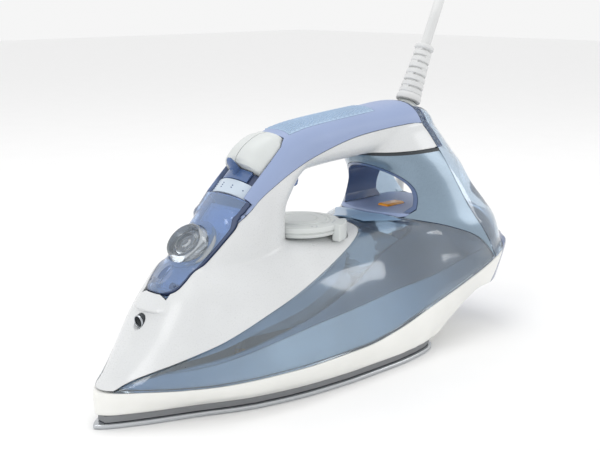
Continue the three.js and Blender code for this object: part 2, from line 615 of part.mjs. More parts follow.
function temperatureDial() {
  const disc = rod([DIAL.x, 0, DIAL.z], [DIAL.x, 0, DIAL.z + DIAL.thick], DIAL.radius - 0.8, DIAL.radius,
    40)
    .add(rod([DIAL.x, 0, DIAL.z + 1], [DIAL.x, 0, DIAL.z + DIAL.thick + 1.2], 17, 16, 32));
  const shoe = rod([DIAL.x, 0, DIAL.z - 4.2], [DIAL.x, 0, DIAL.z + DIAL.thick], DIAL.radius + DIAL.grip,
    DIAL.radius + DIAL.grip, 40)
    .intersect(plate([[DIAL.x, 0], [DIAL.x + 12, -60], [DIAL.x + 60, -44]], 60, 120))
    .subtract(rod([DIAL.x, 0, 60], [DIAL.x, 0, 120], DIAL.radius - 2, DIAL.radius - 2, 40));
  return disc.add(shoe).subtract(rod([DIAL.x, 0, 60], [DIAL.x, 0, DIAL.z + 5], 3.2, 3.2, 16));
}

const dialSpindle = () => rod([DIAL.x, 0, 18.6], [DIAL.x, 0, DIAL.z + 4.6], 2.7, 2.7, 14);

// ---- steam works on the casting --------------------------------------------------------
const chamberLid = () => box(-86, 28, -11, 11, CASTING_TOP + GAP, CASTING_TOP + 1.6)
  .subtract(rod([VALVE_X, 0, 0], [VALVE_X, 0, 40], 2.2, 2.2, 12));
const valveSeat = () => rod([VALVE_X, 0, CASTING_TOP + 1.9], [VALVE_X, 0, 18.4], 3.8, 3.4, 16)
  .subtract(rod([VALVE_X, 0, 0], [VALVE_X, 0, 40], 1.7, 1.7, 10));
const valveRod = () => rod([VALVE_X, 0, 19.9], [VALVE_X, 0, 103], 1.7, 1.7, 10)
  .add(rod([VALVE_X, 0, 22], [VALVE_X, 0, 25], 2.6, 2.6, 12));
const thermostat = () => rod([DIAL.x, 0, CASTING_TOP + 1.95], [DIAL.x, 0, 18.2], 8.5, 8.5, 20);
const thermalFuse = () => rod([40, 0, CASTING_TOP + 2.7], [54, 0, CASTING_TOP + 2.7], 2.3, 2.3, 10);
const soleGasket = () => plate(soleOutline(2.4), SOLE_THICK + GAP, SKIRT_BOTTOM - GAP)
  .subtract(plate(soleOutline(4.6), 0, 20));
const pillar = (x, y) => rod([x, y, CASTING_TOP + GAP], [x, y, 17.8], 3, 3, 12);

function sprayNozzle() {
  const [front, rear] = [new THREE.Vector3(...NOZZLE.front), new THREE.Vector3(...NOZZLE.rear)];
  const at = (t) => front.clone().lerp(rear, t).toArray();
  return rod(at(0.12), at(0.8), 3.2, 3.2, 16).add(rod(at(0.7), at(0.95), 2, 2, 12))
    .subtract(rod(at(0), at(0.3), 2.2, 1, 12)).subtract(rod(at(0.2), at(0.6), 0.7, 0.7, 8));
}

const sprayHose = () => tube([[-100.6, 0, 57], [-97, -1.5, 58.5], [-88, -8, 64], [-74, -12, 78], [-60,
  -12, 92],
  slopePoint(86, -9, -25), slopePoint(93.6, -8, -21)], 1.5, 20, 8);
// ---- inside the back of the handle ------------------------------------------------------
const terminalBlock = () => box(66, 84, -9, 9, 131.5, 141).subtract(box(68, 82, -7, -1, 136, 150))
  .subtract(box(68, 82, 1, 7, 136, 150));
const cordClamp = () => box(86.5, 91.5, -8, 8, 132, 144).subtract(rod([80, 0, 141], [100, 0, 141], 3.9,
  3.9, 12));
const controlBoard = () => box(6, 52, -9, 9, 133, 134.6);
const indicatorLens = () => box(80.4, 99.6, -2.8, 2.8, TUNNEL.floor + 0.3, TUNNEL.floor + 2.9);
const triggerSwitch = () => box(-18, -6, -5, 5, 138.4, 144.5);
const triggerSpring = () => coilSpring(-12, 0, 130.4, 138.1, 3.4, 4);

// ---- swivelling cord entry, built upright on its pivot -------------------------------------
const pivot = new THREE.Group();
pivot.position.set(GUARD.x, 0, GUARD.z);
pivot.rotation.y = GUARD.lean;
datum.add(pivot);

function swivelBall() {
  return turned([[0, -8], [4, -7.2], [7, -4.2], [8.2, 0], [7, 4.2], [5.2, 6.4], [0, 6.4]], 24);
}

function cordGuard() {
  const outline = [[3.9, 6.8], [8.4, 6.8], [8.2, 11]];
  const ribs = 7;
  for (let i = 0; i < ribs; i += 1) {
    const z = 12 + i * 4.6;
    const radius = 7.9 - i * 0.32;
    outline.push([radius, z], [radius, z + 3], [radius - 1.6, z + 3.1], [radius - 1.6, z + 4.5]);
  }
  outline.push([6.4, 44.6], [6.9, GUARD.length - 0.6], [6.4, GUARD.length], [3.9, GUARD.length], [3.9,
    6.8]);
  return turned(outline, 20);
}

// ---- mains cord, in the order it runs ---------------------------------------------------------
const CORD_REST = CORD_RADIUS + 0.3;
// From the coil's middle to a cord that runs beside it.
const CORD_CLEAR = COIL.mean + COIL.width / 2 + CORD_RADIUS + 0.6;
function cordRoute() {
  const [s, c] = [Math.sin(GUARD.lean), Math.cos(GUARD.lean)];
  const along = (t) => [GUARD.x + t * s, 0, GUARD.z + t * c];
  return [along(GUARD.length + 0.4), along(60), [132.8, 0.9, 216.1], [143, 5.5, 225], [156.2, 13.4, 230.9],
    [168.7, 22.4, 232.3], [178.9, 31.6, 228.5], [184.4, 39, 219.6], [184.9, 44.2, 206.6], [182, 48.2, 189.4],
    [177.6, 52.3, 168.9], [173.4, 57.1, 146.9], [173, 59, 122], [173, 62, 92], [175, 65, 62], [176, 67, 36],
    [170, 69.5, 15], [154, 71.5, 5.2], [130, 72, CORD_REST], [104, 70.5, CORD_REST],
    [COIL.x + CORD_CLEAR * Math.cos(ENTRY_TURN), COIL.y + CORD_CLEAR * Math.sin(ENTRY_TURN), CORD_REST]];
}

// The last turn runs straight on into the plug, which lies beside the coil.
const TAIL = { start: 28.6, middle: 36, end: 43.6, low: 15.6, high: 17.6 };
const HEADING = EXIT_TURN - Math.PI / 2;
const PLUG = { reach: 45, z: 19.3 };
function tailPoint(run, z) {
  const edge = COIL.mean + COIL.width / 2 - CORD_RADIUS;
  return [COIL.x + edge * Math.cos(EXIT_TURN) + run * Math.cos(HEADING),
    COIL.y + edge * Math.sin(EXIT_TURN) + run * Math.sin(HEADING), z];
}

const cordTube = () => tube(cordRoute(), CORD_RADIUS, 62, 8);
const cordTail = () => tube([tailPoint(TAIL.start, TAIL.low), tailPoint(TAIL.middle, TAIL.high),
  tailPoint(TAIL.end, PLUG.z)], CORD_RADIUS, 8, 8);

function cordCoil() {
  const [r0, r1] = [COIL.mean - COIL.width / 2, COIL.mean + COIL.width / 2];
  return turned([[r0, 3], [r0 + 3, 0], [r1 - 3, 0], [r1, 3], [r1, COIL.height - 3], [r1 - 3, COIL.height],
    [r0 + 3, COIL.height], [r0, COIL.height - 3], [r0, 3]], 40);
}

function cordTie() {
  const [w, h] = [COIL.width / 2 + 0.9, COIL.height];
  return box(-w - 1.2, w + 1.2, -5, 5, 0.1, h + 1.6).subtract(box(-w, w, -9, 9, -5, h + 0.4));
}

const plug = new THREE.Group();
plug.position.set(...tailPoint(PLUG.reach, PLUG.z));
plug.rotation.z = HEADING;
datum.add(plug);

const plugBody = () => rod([0, 0, 0], [20, 0, 0], 6, 9.5, 20).add(rod([19, 0, 0], [26, 0, 0], 9, 18.4, 28))
  .add(rod([25, 0, 0], [48, 0, 0], 18.8, 18.8, 28)).subtract(box(5, 16, -12, -5.2, -12, 12))
  .subtract(box(5, 16, 5.2, 12, -12, 12));
const plugPin = (side) => rod([48.3, side * 9.5, 0], [67, side * 9.5, 0], 2.4, 2.4, 14);

// ---- build -----------------------------------------------------------------------------
add('soleplate', soleplate(), STEEL());
add('heater_casting', heaterCasting(), ALUMINIUM());
add('heating_element', tube(ELEMENT_ROUTE, 3.3, 28, 8), STEEL());
add('skirt', skirt(), CREAM());
add('water_tank', waterTank(), TANK_BLUE());
add('handle_shell', handleShell(), WHITE());
add('grip_cover', gripCover(), LAVENDER());
add('grip_pad', gripPad(), finish(0xc5daee, 0.6));
add('seam_ring', seamRing(), DARK());
add('rear_post', rearPost(), METALLIC_BLUE());
add('tunnel_liner', tunnelLiner(), DEEP_BLUE());
add('tunnel_floor', tunnelFloor(), LAVENDER());
add('rear_shell', rearShell(), SHELL_BLUE());
add('heel_cap', heelCap(), DEEP_BLUE());
add('tank_deck', tankDeck(), TANK_BLUE());
add('fill_door', fillDoor(), finish(0xa5c3ee, 0.1), slope);
add('door_plug', doorPlug(), CLEAR_GREY(), slope);
add('door_pin', doorPin(), STEEL(), slope);
add('fill_tray', fillTray(), WHITE(), slope);
add('scale_band', scaleBand(), finish(0xd5e2ee, 0.4), slope);
add('lever_track', leverTrack(), DEEP_BLUE(), slope);
add('steam_lever', steamLever(), finish(0x6c86b5, 0.3), slope);
add('spray_button', button(-1), WHITE(), slope);
add('boost_button', button(1), WHITE(), slope);
add('button_bezel', buttonBezel(), DARK(), slope);
add('steam_trigger', steamTrigger(), finish(0x8fa6bf, 0.3));
add('temperature_dial', temperatureDial(), WHITE());
add('dial_spindle', dialSpindle(), STEEL());
add('sole_gasket', soleGasket(), RUBBER());
add('chamber_lid', chamberLid(), ALUMINIUM());
add('valve_seat', valveSeat(), BRASS());
add('valve_rod', valveRod(), STEEL());
add('thermostat', thermostat(), BRASS());
add('thermal_fuse', thermalFuse(), CREAM());
add('pillar_front', pillar(-120, 0), STEEL());
add('pillar_left', pillar(52, -16), STEEL());
add('pillar_right', pillar(52, 16), STEEL());
add('spray_nozzle', sprayNozzle(), DARK());
add('spray_hose', sprayHose(), CLEAR_GREY());
add('spray_pump', pumpBody(-1), WHITE(), slope);
add('boost_pump', pumpBody(1), WHITE(), slope);
add('spray_plunger', pumpPlunger(-1), DARK(), slope);
add('boost_plunger', pumpPlunger(1), DARK(), slope);
add('spray_spring', coilSpring(100, -8, -11.2, -6.8, 3.9, 3), STEEL(), slope);
add('boost_spring', coilSpring(100, 8, -11.2, -6.8, 3.9, 3), STEEL(), slope);
add('trigger_spring', triggerSpring(), STEEL());
add('trigger_switch', triggerSwitch(), DARK());
add('terminal_block', terminalBlock(), DARK());
add('cord_clamp', cordClamp(), DARK());
add('control_board', controlBoard(), finish(0x2f6b3c, 0.6));
add('indicator_lens', indicatorLens(), AMBER());
add('swivel_ball', swivelBall(), WHITE(), pivot);
add('cord_guard', cordGuard(), WHITE(), pivot);
add('cord_tube', cordTube(), WHITE());
const coil = add('cord_coil', cordCoil(), WHITE());
coil.position.set(COIL.x, COIL.y, 0.05);
const tie = add('cord_tie', cordTie(), WHITE());
tie.position.set(COIL.x, COIL.y + COIL.mean, 0);
tie.rotation.z = Math.PI / 2;
add('cord_tail', cordTail(), WHITE());
add('plug_body', plugBody(), WHITE(), plug);
add('plug_pin_left', plugPin(-1), BRASS(), plug);
add('plug_pin_right', plugPin(1), BRASS(), plug);

export default iron;
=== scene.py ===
"""Steam iron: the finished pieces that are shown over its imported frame.

Sizes are in millimetres on the iron's own datum and turn into metres as each mesh is made.
"""

import logging
import math
from dataclasses import dataclass, field
from enum import Enum
from typing import Callable, Iterable, Optional, Sequence

import bpy
from mathutils import Matrix, Vector


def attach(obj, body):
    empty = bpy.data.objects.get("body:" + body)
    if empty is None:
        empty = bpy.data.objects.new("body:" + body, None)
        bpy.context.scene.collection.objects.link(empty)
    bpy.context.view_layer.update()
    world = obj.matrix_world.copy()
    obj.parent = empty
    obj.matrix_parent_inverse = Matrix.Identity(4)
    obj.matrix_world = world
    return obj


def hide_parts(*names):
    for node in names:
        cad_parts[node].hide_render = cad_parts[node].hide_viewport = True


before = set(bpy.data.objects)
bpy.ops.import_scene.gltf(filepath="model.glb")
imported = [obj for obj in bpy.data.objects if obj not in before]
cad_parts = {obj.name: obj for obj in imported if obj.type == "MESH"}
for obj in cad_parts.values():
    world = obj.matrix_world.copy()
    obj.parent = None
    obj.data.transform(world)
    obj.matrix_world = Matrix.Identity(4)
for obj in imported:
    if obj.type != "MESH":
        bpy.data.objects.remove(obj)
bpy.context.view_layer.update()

LOG = logging.getLogger("iron")
MM = 0.001
SHIFT_X = -6.5
FAR = 90.0
GAP = 0.4
WALL = 2.3
FOOT_X = 137.0
RING_Z = 127.5
RING_LOW = RING_Z - 0.2
RING_TOP = RING_Z + 1.7
SOLE_NOSE = -158.0
SOLE_REAR = 80.0
DIAL_X = -1.0
UP = Vector((0, 0, 1))
COAT_ROUGHNESS = 0.06
SOFT_RADIUS = (0.004, 0.004, 0.003)
SOFT_SCALE = 0.6
PATCH_SCALE = 22.0
PATCH_DETAIL = 3.0
GRAIN_DETAIL = 2.0
BUMP_DEPTH = 0.0004
EDGE_SAMPLES = 4

Pair = tuple[float, float]
Point = tuple[float, float, float]
Mapping = Callable[[float, float, float], Point]
Piece = bpy.types.Object
Tree = bpy.types.NodeTree
Node = bpy.types.Node
Socket = bpy.types.NodeSocket
Stops = bpy.types.ColorRampElements


# ---------------------------------------------------------------- curves


@dataclass(frozen=True)
class Knots:
    """A smooth curve through (x, value) knots that never overshoots them."""

    pairs: tuple[Pair, ...]
    slopes: tuple[float, ...] = field(init=False, compare=False)

    def __post_init__(self) -> None:
        """Works out the slope at every knot, flat at the ends and at turning points."""
        inside = []
        for (x0, v0), (x1, v1), (x2, v2) in zip(self.pairs, self.pairs[1:], self.pairs[2:]):
            before, after = (v1 - v0) / (x1 - x0), (v2 - v1) / (x2 - x1)
            inside.append(0.0 if before * after <= 0 else 2 * before * after / (before + after))
        object.__setattr__(self, "slopes", (0.0, *inside, 0.0))

    def at(self, x: float) -> float:
        """Value of the curve.

        Args:
            x: Where to read it; beyond the ends it keeps the end value.

        Returns:
            The value at x.
        """
        last = len(self.pairs) - 2
        i = next((k for k in range(last + 1) if x <= self.pairs[k + 1][0]), last)
        (x0, v0), (x1, v1) = self.pairs[i], self.pairs[i + 1]
        span = x1 - x0
        t = min(max((x - x0) / span, 0.0), 1.0)
        return (
            v0 * (2 * t**3 - 3 * t**2 + 1)
            + span * self.slopes[i] * (t**3 - 2 * t**2 + t)
            + v1 * (3 * t**2 - 2 * t**3)
            + span * self.slopes[i + 1] * (t**3 - t**2)
        )


def knots(*pairs: Pair) -> Knots:
    """Short way to write a Knots curve."""
    return Knots(tuple(pairs))


def spline(points: Sequence[Sequence[float]], count: int) -> list[tuple[float, ...]]:
    """Even samples of a smooth line through points.

    Args:
        points: Two or more points of any dimension.
        count: Number of steps along the line.

    Returns:
        count + 1 points, the first and last of them the given ends.
    """
    samples = []
    for step in range(count + 1):
        place = step / count * (len(points) - 1)
        i = min(int(place), len(points) - 2)
        t = place - i
        p0, p1, p2, p3 = (points[min(max(i + k, 0), len(points) - 1)] for k in (-1, 0, 1, 2))
        samples.append(
            tuple(
                0.5 * (
                    2 * b + (c - a) * t + (2 * a - 5 * b + 4 * c - d) * t**2 + (3 * b - a - 3 * c + d) * t**3
                )
                for a, b, c, d in zip(p0, p1, p2, p3)
            )
        )
    return samples


def moved(points: Iterable[Pair], dx: float, dz: float) -> list[Pair]:
    """The same outline, shifted."""
    return [(x + dx, z + dz) for x, z in points]


def around(steps: int) -> list[float]:
    """Even angles of a whole turn."""
    return [i / steps * math.tau for i in range(steps)]


def half_around(steps: int) -> list[float]:
    """Even angles of half a turn, both ends among them."""
    return [i / steps * math.pi for i in range(steps + 1)]


def rounded(value: float, power: float) -> float:
    """A cosine or sine, swelled so that a round section turns squarer."""
    return math.copysign(abs(value) ** (2 / power), value)


def part_ring(first: float, last: float, steps: int, outer: float, inner: float) -> list[Pair]:
    """Plan outline of part of a ring about the dial's axis.

    Args:
        first: Its first angle, in degrees.
        last: Its last angle.
        steps: Number of steps between them.
        outer: Outer radius.
        inner: Inner radius.

    Returns:
        The outline, in X and Y.
    """
    turns = [math.radians(first + (last - first) * i / steps) for i in range(steps + 1)]
    runs = ((outer, turns), (inner, turns[::-1]))
    return [(DIAL_X + radius * math.cos(a), radius * math.sin(a)) for radius, run in runs for a in run]


# ---------------------------------------------------------------- places


def metres(x: float, y: float, z: float) -> Vector:
    """A point of the datum, as a point of the frame."""
    return Vector(((x + SHIFT_X) * MM, y * MM, z * MM))


def side(a: float, b: float, c: float) -> Point:
    """Outline in X and Z, carried along Y."""
    return a, c, b


def plan(a: float, b: float, c: float) -> Point:
    """Outline in X and Y, carried along Z."""
    return a, b, c


def front(a: float, b: float, c: float) -> Point:
    """Outline in Y and Z, carried along X."""
    return c, a, b


@dataclass(frozen=True)
class Slope:
    """The line that the door and the upper controls follow up the nose."""

    x: float = -114.0
    z: float = 70.0
    angle: float = math.radians(43.5)

    def at(self, u: float, y: float, w: float) -> Point:
        """Datum point that is u up the line, y across it and w off it."""
        c, s = math.cos(self.angle), math.sin(self.angle)
        return self.x + u * c - w * s, y, self.z + u * s + w * c


SLOPE = Slope()


# ---------------------------------------------------------------- modelling


class Operation(Enum):
    """What a boolean does with its tool."""

    CUT = "DIFFERENCE"
    JOIN = "UNION"
    COMMON = "INTERSECT"


def select_only(*objects: Piece) -> None:
    """Selects these objects and nothing else; the first is the active one."""
    bpy.ops.object.select_all(action="DESELECT")
    for item in objects:
        item.select_set(True)
    bpy.context.view_layer.objects.active = objects[0]


def fresh(name: str) -> Piece:
    """Names the object that an operator has just added.

    Args:
        name: The piece's name.

    Returns:
        The object, the only one selected.
    """
    item = bpy.context.active_object
    item.name = name
    item.data.name = name
    select_only(item)
    return item


def finish_with(item: Piece, kind: str, **settings: object) -> Piece:
    """Adds a modifier and applies it.

    Args:
        item: The piece.
        kind: The modifier's type.
        **settings: Its settings.

    Returns:
        The same piece.
    """
    select_only(item)
    modifier = item.modifiers.new(kind.lower(), kind)
    for key, value in settings.items():
        setattr(modifier, key, value)
    bpy.ops.object.modifier_apply(modifier=modifier.name)
    return item


def soften(item: Piece, width: float, segments: int = 3, degrees: float = 50.0) -> Piece:
    """Rounds the edges of a piece that are sharper than the angle."""
    limit = math.radians(degrees)
    return finish_with(
        item, "BEVEL", width=width * MM, segments=segments, limit_method="ANGLE", angle_limit=limit
    )


def discard(*items: Piece) -> None:
    """Deletes solids that have done their work."""
    for item in items:
        bpy.data.objects.remove(item)


def boolean(item: Piece, tool: Piece, how: Operation, keep: bool = False) -> Piece:
    """Cuts, joins or trims a piece with a tool.

    Args:
        item: The piece that stays.
        tool: The other solid.
        how: What is done.
        keep: Whether the tool is needed again.

    Returns:
        The piece.
    """
    finish_with(item, "BOOLEAN", operation=how.value, solver="MANIFOLD", object=tool)
    if not keep:
        discard(tool)
    return item


def union_of(parts: Iterable[Piece]) -> Piece:
    """Joins solids into the first of them."""
    rest = iter(parts)
    item = next(rest)
    for part in rest:
        boolean(item, part, Operation.JOIN)
    return item


def copy_of(item: Piece, name: str) -> Piece:
    """A copy with its own mesh."""
    twin = item.copy()
    twin.data = item.data.copy()
    twin.name = name
    twin.data.name = name
    bpy.context.collection.objects.link(twin)
    return twin


def smooth_by_angle(item: Piece, degrees: float = 32.0) -> Piece:
    """Smooth shading that keeps edges sharper than the angle."""
    select_only(item)
    bpy.ops.object.shade_smooth_by_angle(angle=math.radians(degrees))
    return item


def stood_on(axis: Vector) -> Matrix:
    """The turn that lays +Z along an axis."""
    return UP.rotation_difference(axis).to_matrix().to_4x4()


def extruded(item: Piece, move: Point) -> Piece:
    """Pulls a whole outline along a vector of its own axes."""
    bpy.ops.object.mode_set(mode="EDIT")
    bpy.ops.mesh.select_all(action="SELECT")
    bpy.ops.mesh.extrude_region_move(TRANSFORM_OT_translate={"value": move})
    bpy.ops.object.mode_set(mode="OBJECT")
    return item


def outward(item: Piece) -> Piece:
    """Turns every face of a closed piece outwards."""
    select_only(item)
    bpy.ops.object.mode_set(mode="EDIT")
    bpy.ops.mesh.select_all(action="SELECT")
    bpy.ops.mesh.normals_make_consistent(inside=False)
    bpy.ops.object.mode_set(mode="OBJECT")
    return item


def slab(
    name: str, outline: Sequence[Pair], low: float = -FAR, high: float = FAR, to: Mapping = side
) -> Piece:
    """A flat outline, extruded.

    Args:
        name: The solid's name.
        outline: Corners, in millimetres.
        low: Where the extrusion starts; clear of the iron if left out.
        high: Where it ends, likewise.
        to: The plane that the outline lies in.

    Returns:
        The closed solid.
    """
    bpy.ops.mesh.primitive_circle_add(vertices=len(outline), radius=1.0, fill_type="NGON")
    item = fresh(name)
    for vertex, (a, b) in zip(item.data.vertices, outline):
        vertex.co = (a, b, 0.0)
    for vertex in extruded(item, (0, 0, 1)).data.vertices:
        a, b, t = vertex.co
        vertex.co = metres(*to(a, b, low + (high - low) * t))
    return outward(item)


def rod(
    name: str, start: Point, end: Point, radius: float, tip: Optional[float] = None, sides: int = 48
) -> Piece:
    """A round bar or cone between two datum points.

    Args:
        name: The solid's name.
        start: Middle of its first end.
        end: Middle of its other end.
        radius: Radius at the first end.
        tip: Radius at the other end, the same if left out.
        sides: Facets round it.

    Returns:
        The closed solid, with its place in its mesh.
    """
    a, b = metres(*start), metres(*end)
    axis = b - a
    bpy.ops.mesh.primitive_cone_add(
        vertices=sides, radius1=radius * MM, radius2=(radius if tip is None else tip) * MM, depth=axis.length
    )
    item = fresh(name)
    item.data.transform(Matrix.Translation((a + b) / 2) @ stood_on(axis))
    return item


def block(name: str, low: Point, high: Point) -> Piece:
    """A box between two datum corners."""
    outline = [(low[0], low[1]), (high[0], low[1]), (high[0], high[1]), (low[0], high[1])]
    return slab(name, outline, low[2], high[2], plan)


def turned(name: str, profile: Sequence[Pair], place: Matrix, sides: int = 96) -> Piece:
    """A profile spun about its own upright axis.

    Args:
        name: The solid's name.
        profile: (radius, height) corners in millimetres, closed on themselves or on the axis.
        place: Where the axis stands, in metres.
        sides: Facets round it.

    Returns:
        The closed solid.
    """
    bpy.ops.mesh.primitive_circle_add(vertices=len(profile), radius=1.0)
    item = fresh(name)
    for vertex, (radius, height) in zip(item.data.vertices, profile):
        vertex.co = (radius * MM, 0.0, height * MM)
    bpy.ops.object.mode_set(mode="EDIT")
    bpy.ops.mesh.select_all(action="SELECT")
    bpy.ops.mesh.spin(steps=sides, angle=math.tau, center=(0, 0, 0), axis=(0, 0, 1))
    bpy.ops.mesh.select_all(action="SELECT")
    bpy.ops.mesh.remove_doubles(threshold=1e-7)
    bpy.ops.mesh.dissolve_degenerate(threshold=1e-7)
    bpy.ops.mesh.normals_make_consistent(inside=False)
    bpy.ops.object.mode_set(mode="OBJECT")
    item.data.transform(place)
    return item


def skin(name: str, rings: Sequence[Sequence[Point]]) -> Piece:
    """A closed form drawn over a sphere, whose rows of points become its sections.

    Args:
        name: The form's name.
        rings: Sections from end to end, each with the same count of datum points.

    Returns:
        The closed form.
    """
    around = len(rings[0])
    bpy.ops.mesh.primitive_uv_sphere_add(segments=around, ring_count=len(rings) + 1, radius=1.0)
    item = fresh(name)
    for vertex in item.data.vertices:
        x, y, z = vertex.co
        row = round((1 - math.acos(max(-1.0, min(1.0, z))) / math.pi) * (len(rings) + 1))
        if row in (0, len(rings) + 1):
            ring = rings[min(max(row - 1, 0), len(rings) - 1)]
            vertex.co = sum((metres(*point) for point in ring), Vector()) / around
        else:
            vertex.co = metres(*rings[row - 1][round(math.atan2(y, x) / math.tau * around) % around])
    return outward(item)


# ---------------------------------------------------------------- finishes


def tint(code: str) -> tuple[float, float, float]:
    """Linear colour of a six-digit colour code."""
    parts = [int(code[i : i + 2], 16) / 255 for i in (0, 2, 4)]
    return tuple(p / 12.92 if p < 0.04045 else ((p + 0.055) / 1.055) ** 2.4 for p in parts)


@dataclass(frozen=True)
class Finish:
    """A moulded, metal or rubber finish, with its own grain, tone and soft edges, or with painted bands of
    highlight and shade.
    """

    name: str
    slot: str
    code: str
    roughness: float = 0.35
    metallic: float = 0.0
    coat: float = 0.0
    clear: float = 0.0
    grain: float = 1400.0
    relief: float = 0.05
    tone: float = 0.05
    stretch: Point = (1.0, 1.0, 1.0)
    edge: float = 0.45
    soft: float = 0.0
    # painted highlight and shade: colour stops at X places in millimetres, from nose to heel
    painted_light_bands: tuple[tuple[float, str], ...] = ()

    def shade(self, factor: float) -> tuple[float, float, float, float]:
        """The colour, lighter or darker by a factor."""
        return (*(min(c * factor, 1.0) for c in tint(self.code)), 1.0)

    def material(self) -> bpy.types.Material:
        """Builds the node material, once.

        Returns:
            The material of this finish.
        """
        if self.name in bpy.data.materials:
            return bpy.data.materials[self.name]
        made = bpy.data.materials.new(self.name)
        made.use_nodes = True
        tree = made.node_tree
        shader = tree.nodes["Principled BSDF"]
        settings = {
            "Metallic": self.metallic,
            "Coat Weight": self.coat,
            "Coat Roughness": COAT_ROUGHNESS,
            "Transmission Weight": self.clear,
            "Subsurface Weight": self.soft,
            "Subsurface Radius": SOFT_RADIUS,
            "Subsurface Scale": SOFT_SCALE,
        }
        for key, value in settings.items():
            shader.inputs[key].default_value = value
        place = self.node(tree, "ShaderNodeTexCoord")
        frame_of = self.node(tree, "ShaderNodeMapping")
        frame_of.inputs["Scale"].default_value = self.stretch
        tree.links.new(place.outputs["Object"], frame_of.inputs["Vector"])
        patches = self.noise(tree, frame_of, PATCH_SCALE, PATCH_DETAIL)
        fine = self.noise(tree, frame_of, self.grain, GRAIN_DETAIL)
        self.color_into(tree, shader, patches)
        self.rough_into(tree, shader, fine)
        bump = self.node(tree, "ShaderNodeBump")
        bump.inputs["Strength"].default_value = self.relief
        bump.inputs["Distance"].default_value = BUMP_DEPTH
        tree.links.new(fine.outputs["Fac"], bump.inputs["Height"])
        if self.edge:
            rounding = self.node(tree, "ShaderNodeBevel")
            rounding.samples = EDGE_SAMPLES
            rounding.inputs["Radius"].default_value = self.edge * MM
            tree.links.new(rounding.outputs["Normal"], bump.inputs["Normal"])
        tree.links.new(bump.outputs["Normal"], shader.inputs["Normal"])
        return made

    def node(self, tree: Tree, kind: str) -> Node:
        """A new node, set out in a row."""
        made = tree.nodes.new(kind)
        made.location = (-220 * len(tree.nodes), 0)
        return made

    def noise(self, tree: Tree, source: Node, scale: float, detail: float) -> Node:
        """A noise pattern at a scale in turns per metre."""
        made = self.node(tree, "ShaderNodeTexNoise")
        made.inputs["Scale"].default_value = scale
        made.inputs["Detail"].default_value = detail
        tree.links.new(source.outputs["Vector"], made.inputs["Vector"])
        return made

    def color_into(self, tree: Tree, shader: Node, patches: Node) -> None:
        """Lets the colour drift a little over the piece, or pass through painted highlight and shade bands
        from nose to heel.
        """
        ramp = self.node(tree, "ShaderNodeValToRGB")
        stops = ramp.color_ramp.elements
        if self.painted_light_bands:
            source = self.painted_light_ramp(tree, patches, stops)
        else:
            stops[0].position, stops[1].position = 0.32, 0.68
            stops[0].color, stops[1].color = self.shade(1 - self.tone), self.shade(1 + self.tone)
            source = patches.outputs["Fac"]
        tree.links.new(source, ramp.inputs["Fac"])
        tree.links.new(ramp.outputs["Color"], shader.inputs["Base Color"])

    def painted_light_ramp(
        self, tree: Tree, patches: Node, stops: Stops
    ) -> Socket:
        """Sets the stops of the painted highlight and shade bands along X, whose edges wander a little.

        Args:
            tree: The finish's node tree.
            patches: The noise that the edges wander with.
            stops: The ramp's own stops.

        Returns:
            Where the ramp reads its place along the bands.
        """
        first, last = self.painted_light_bands[0][0], self.painted_light_bands[-1][0]
        place = self.node(tree, "ShaderNodeTexCoord")
        split = self.node(tree, "ShaderNodeSeparateXYZ")
        tree.links.new(place.outputs["Object"], split.inputs["Vector"])
        drift = self.node(tree, "ShaderNodeMath")
        drift.operation = "MULTIPLY_ADD"
        drift.inputs[1].default_value = 0.02
        tree.links.new(patches.outputs["Fac"], drift.inputs[0])
        tree.links.new(split.outputs["X"], drift.inputs[2])
        along = self.node(tree, "ShaderNodeMapRange")
        along.inputs["From Min"].default_value = (first + SHIFT_X) * MM
        along.inputs["From Max"].default_value = (last + SHIFT_X) * MM
        tree.links.new(drift.outputs["Value"], along.inputs["Value"])
        for x, code in self.painted_light_bands[1:-1]:
            stops.new((x - first) / (last - first)).color = (*tint(code), 1.0)
        for end in (0, -1):
            stops[end].color = (*tint(self.painted_light_bands[end][1]), 1.0)
        return along.outputs["Result"]

    def rough_into(self, tree: Tree, shader: Node, fine: Node) -> None:
        """Lets the gloss break up a little with the grain."""
        spread = self.node(tree, "ShaderNodeMapRange")
        spread.inputs["To Min"].default_value = self.roughness * 0.8
        spread.inputs["To Max"].default_value = min(self.roughness * 1.25, 1.0)
        tree.links.new(fine.outputs["Fac"], spread.inputs["Value"])
        tree.links.new(spread.outputs["Result"], shader.inputs["Roughness"])


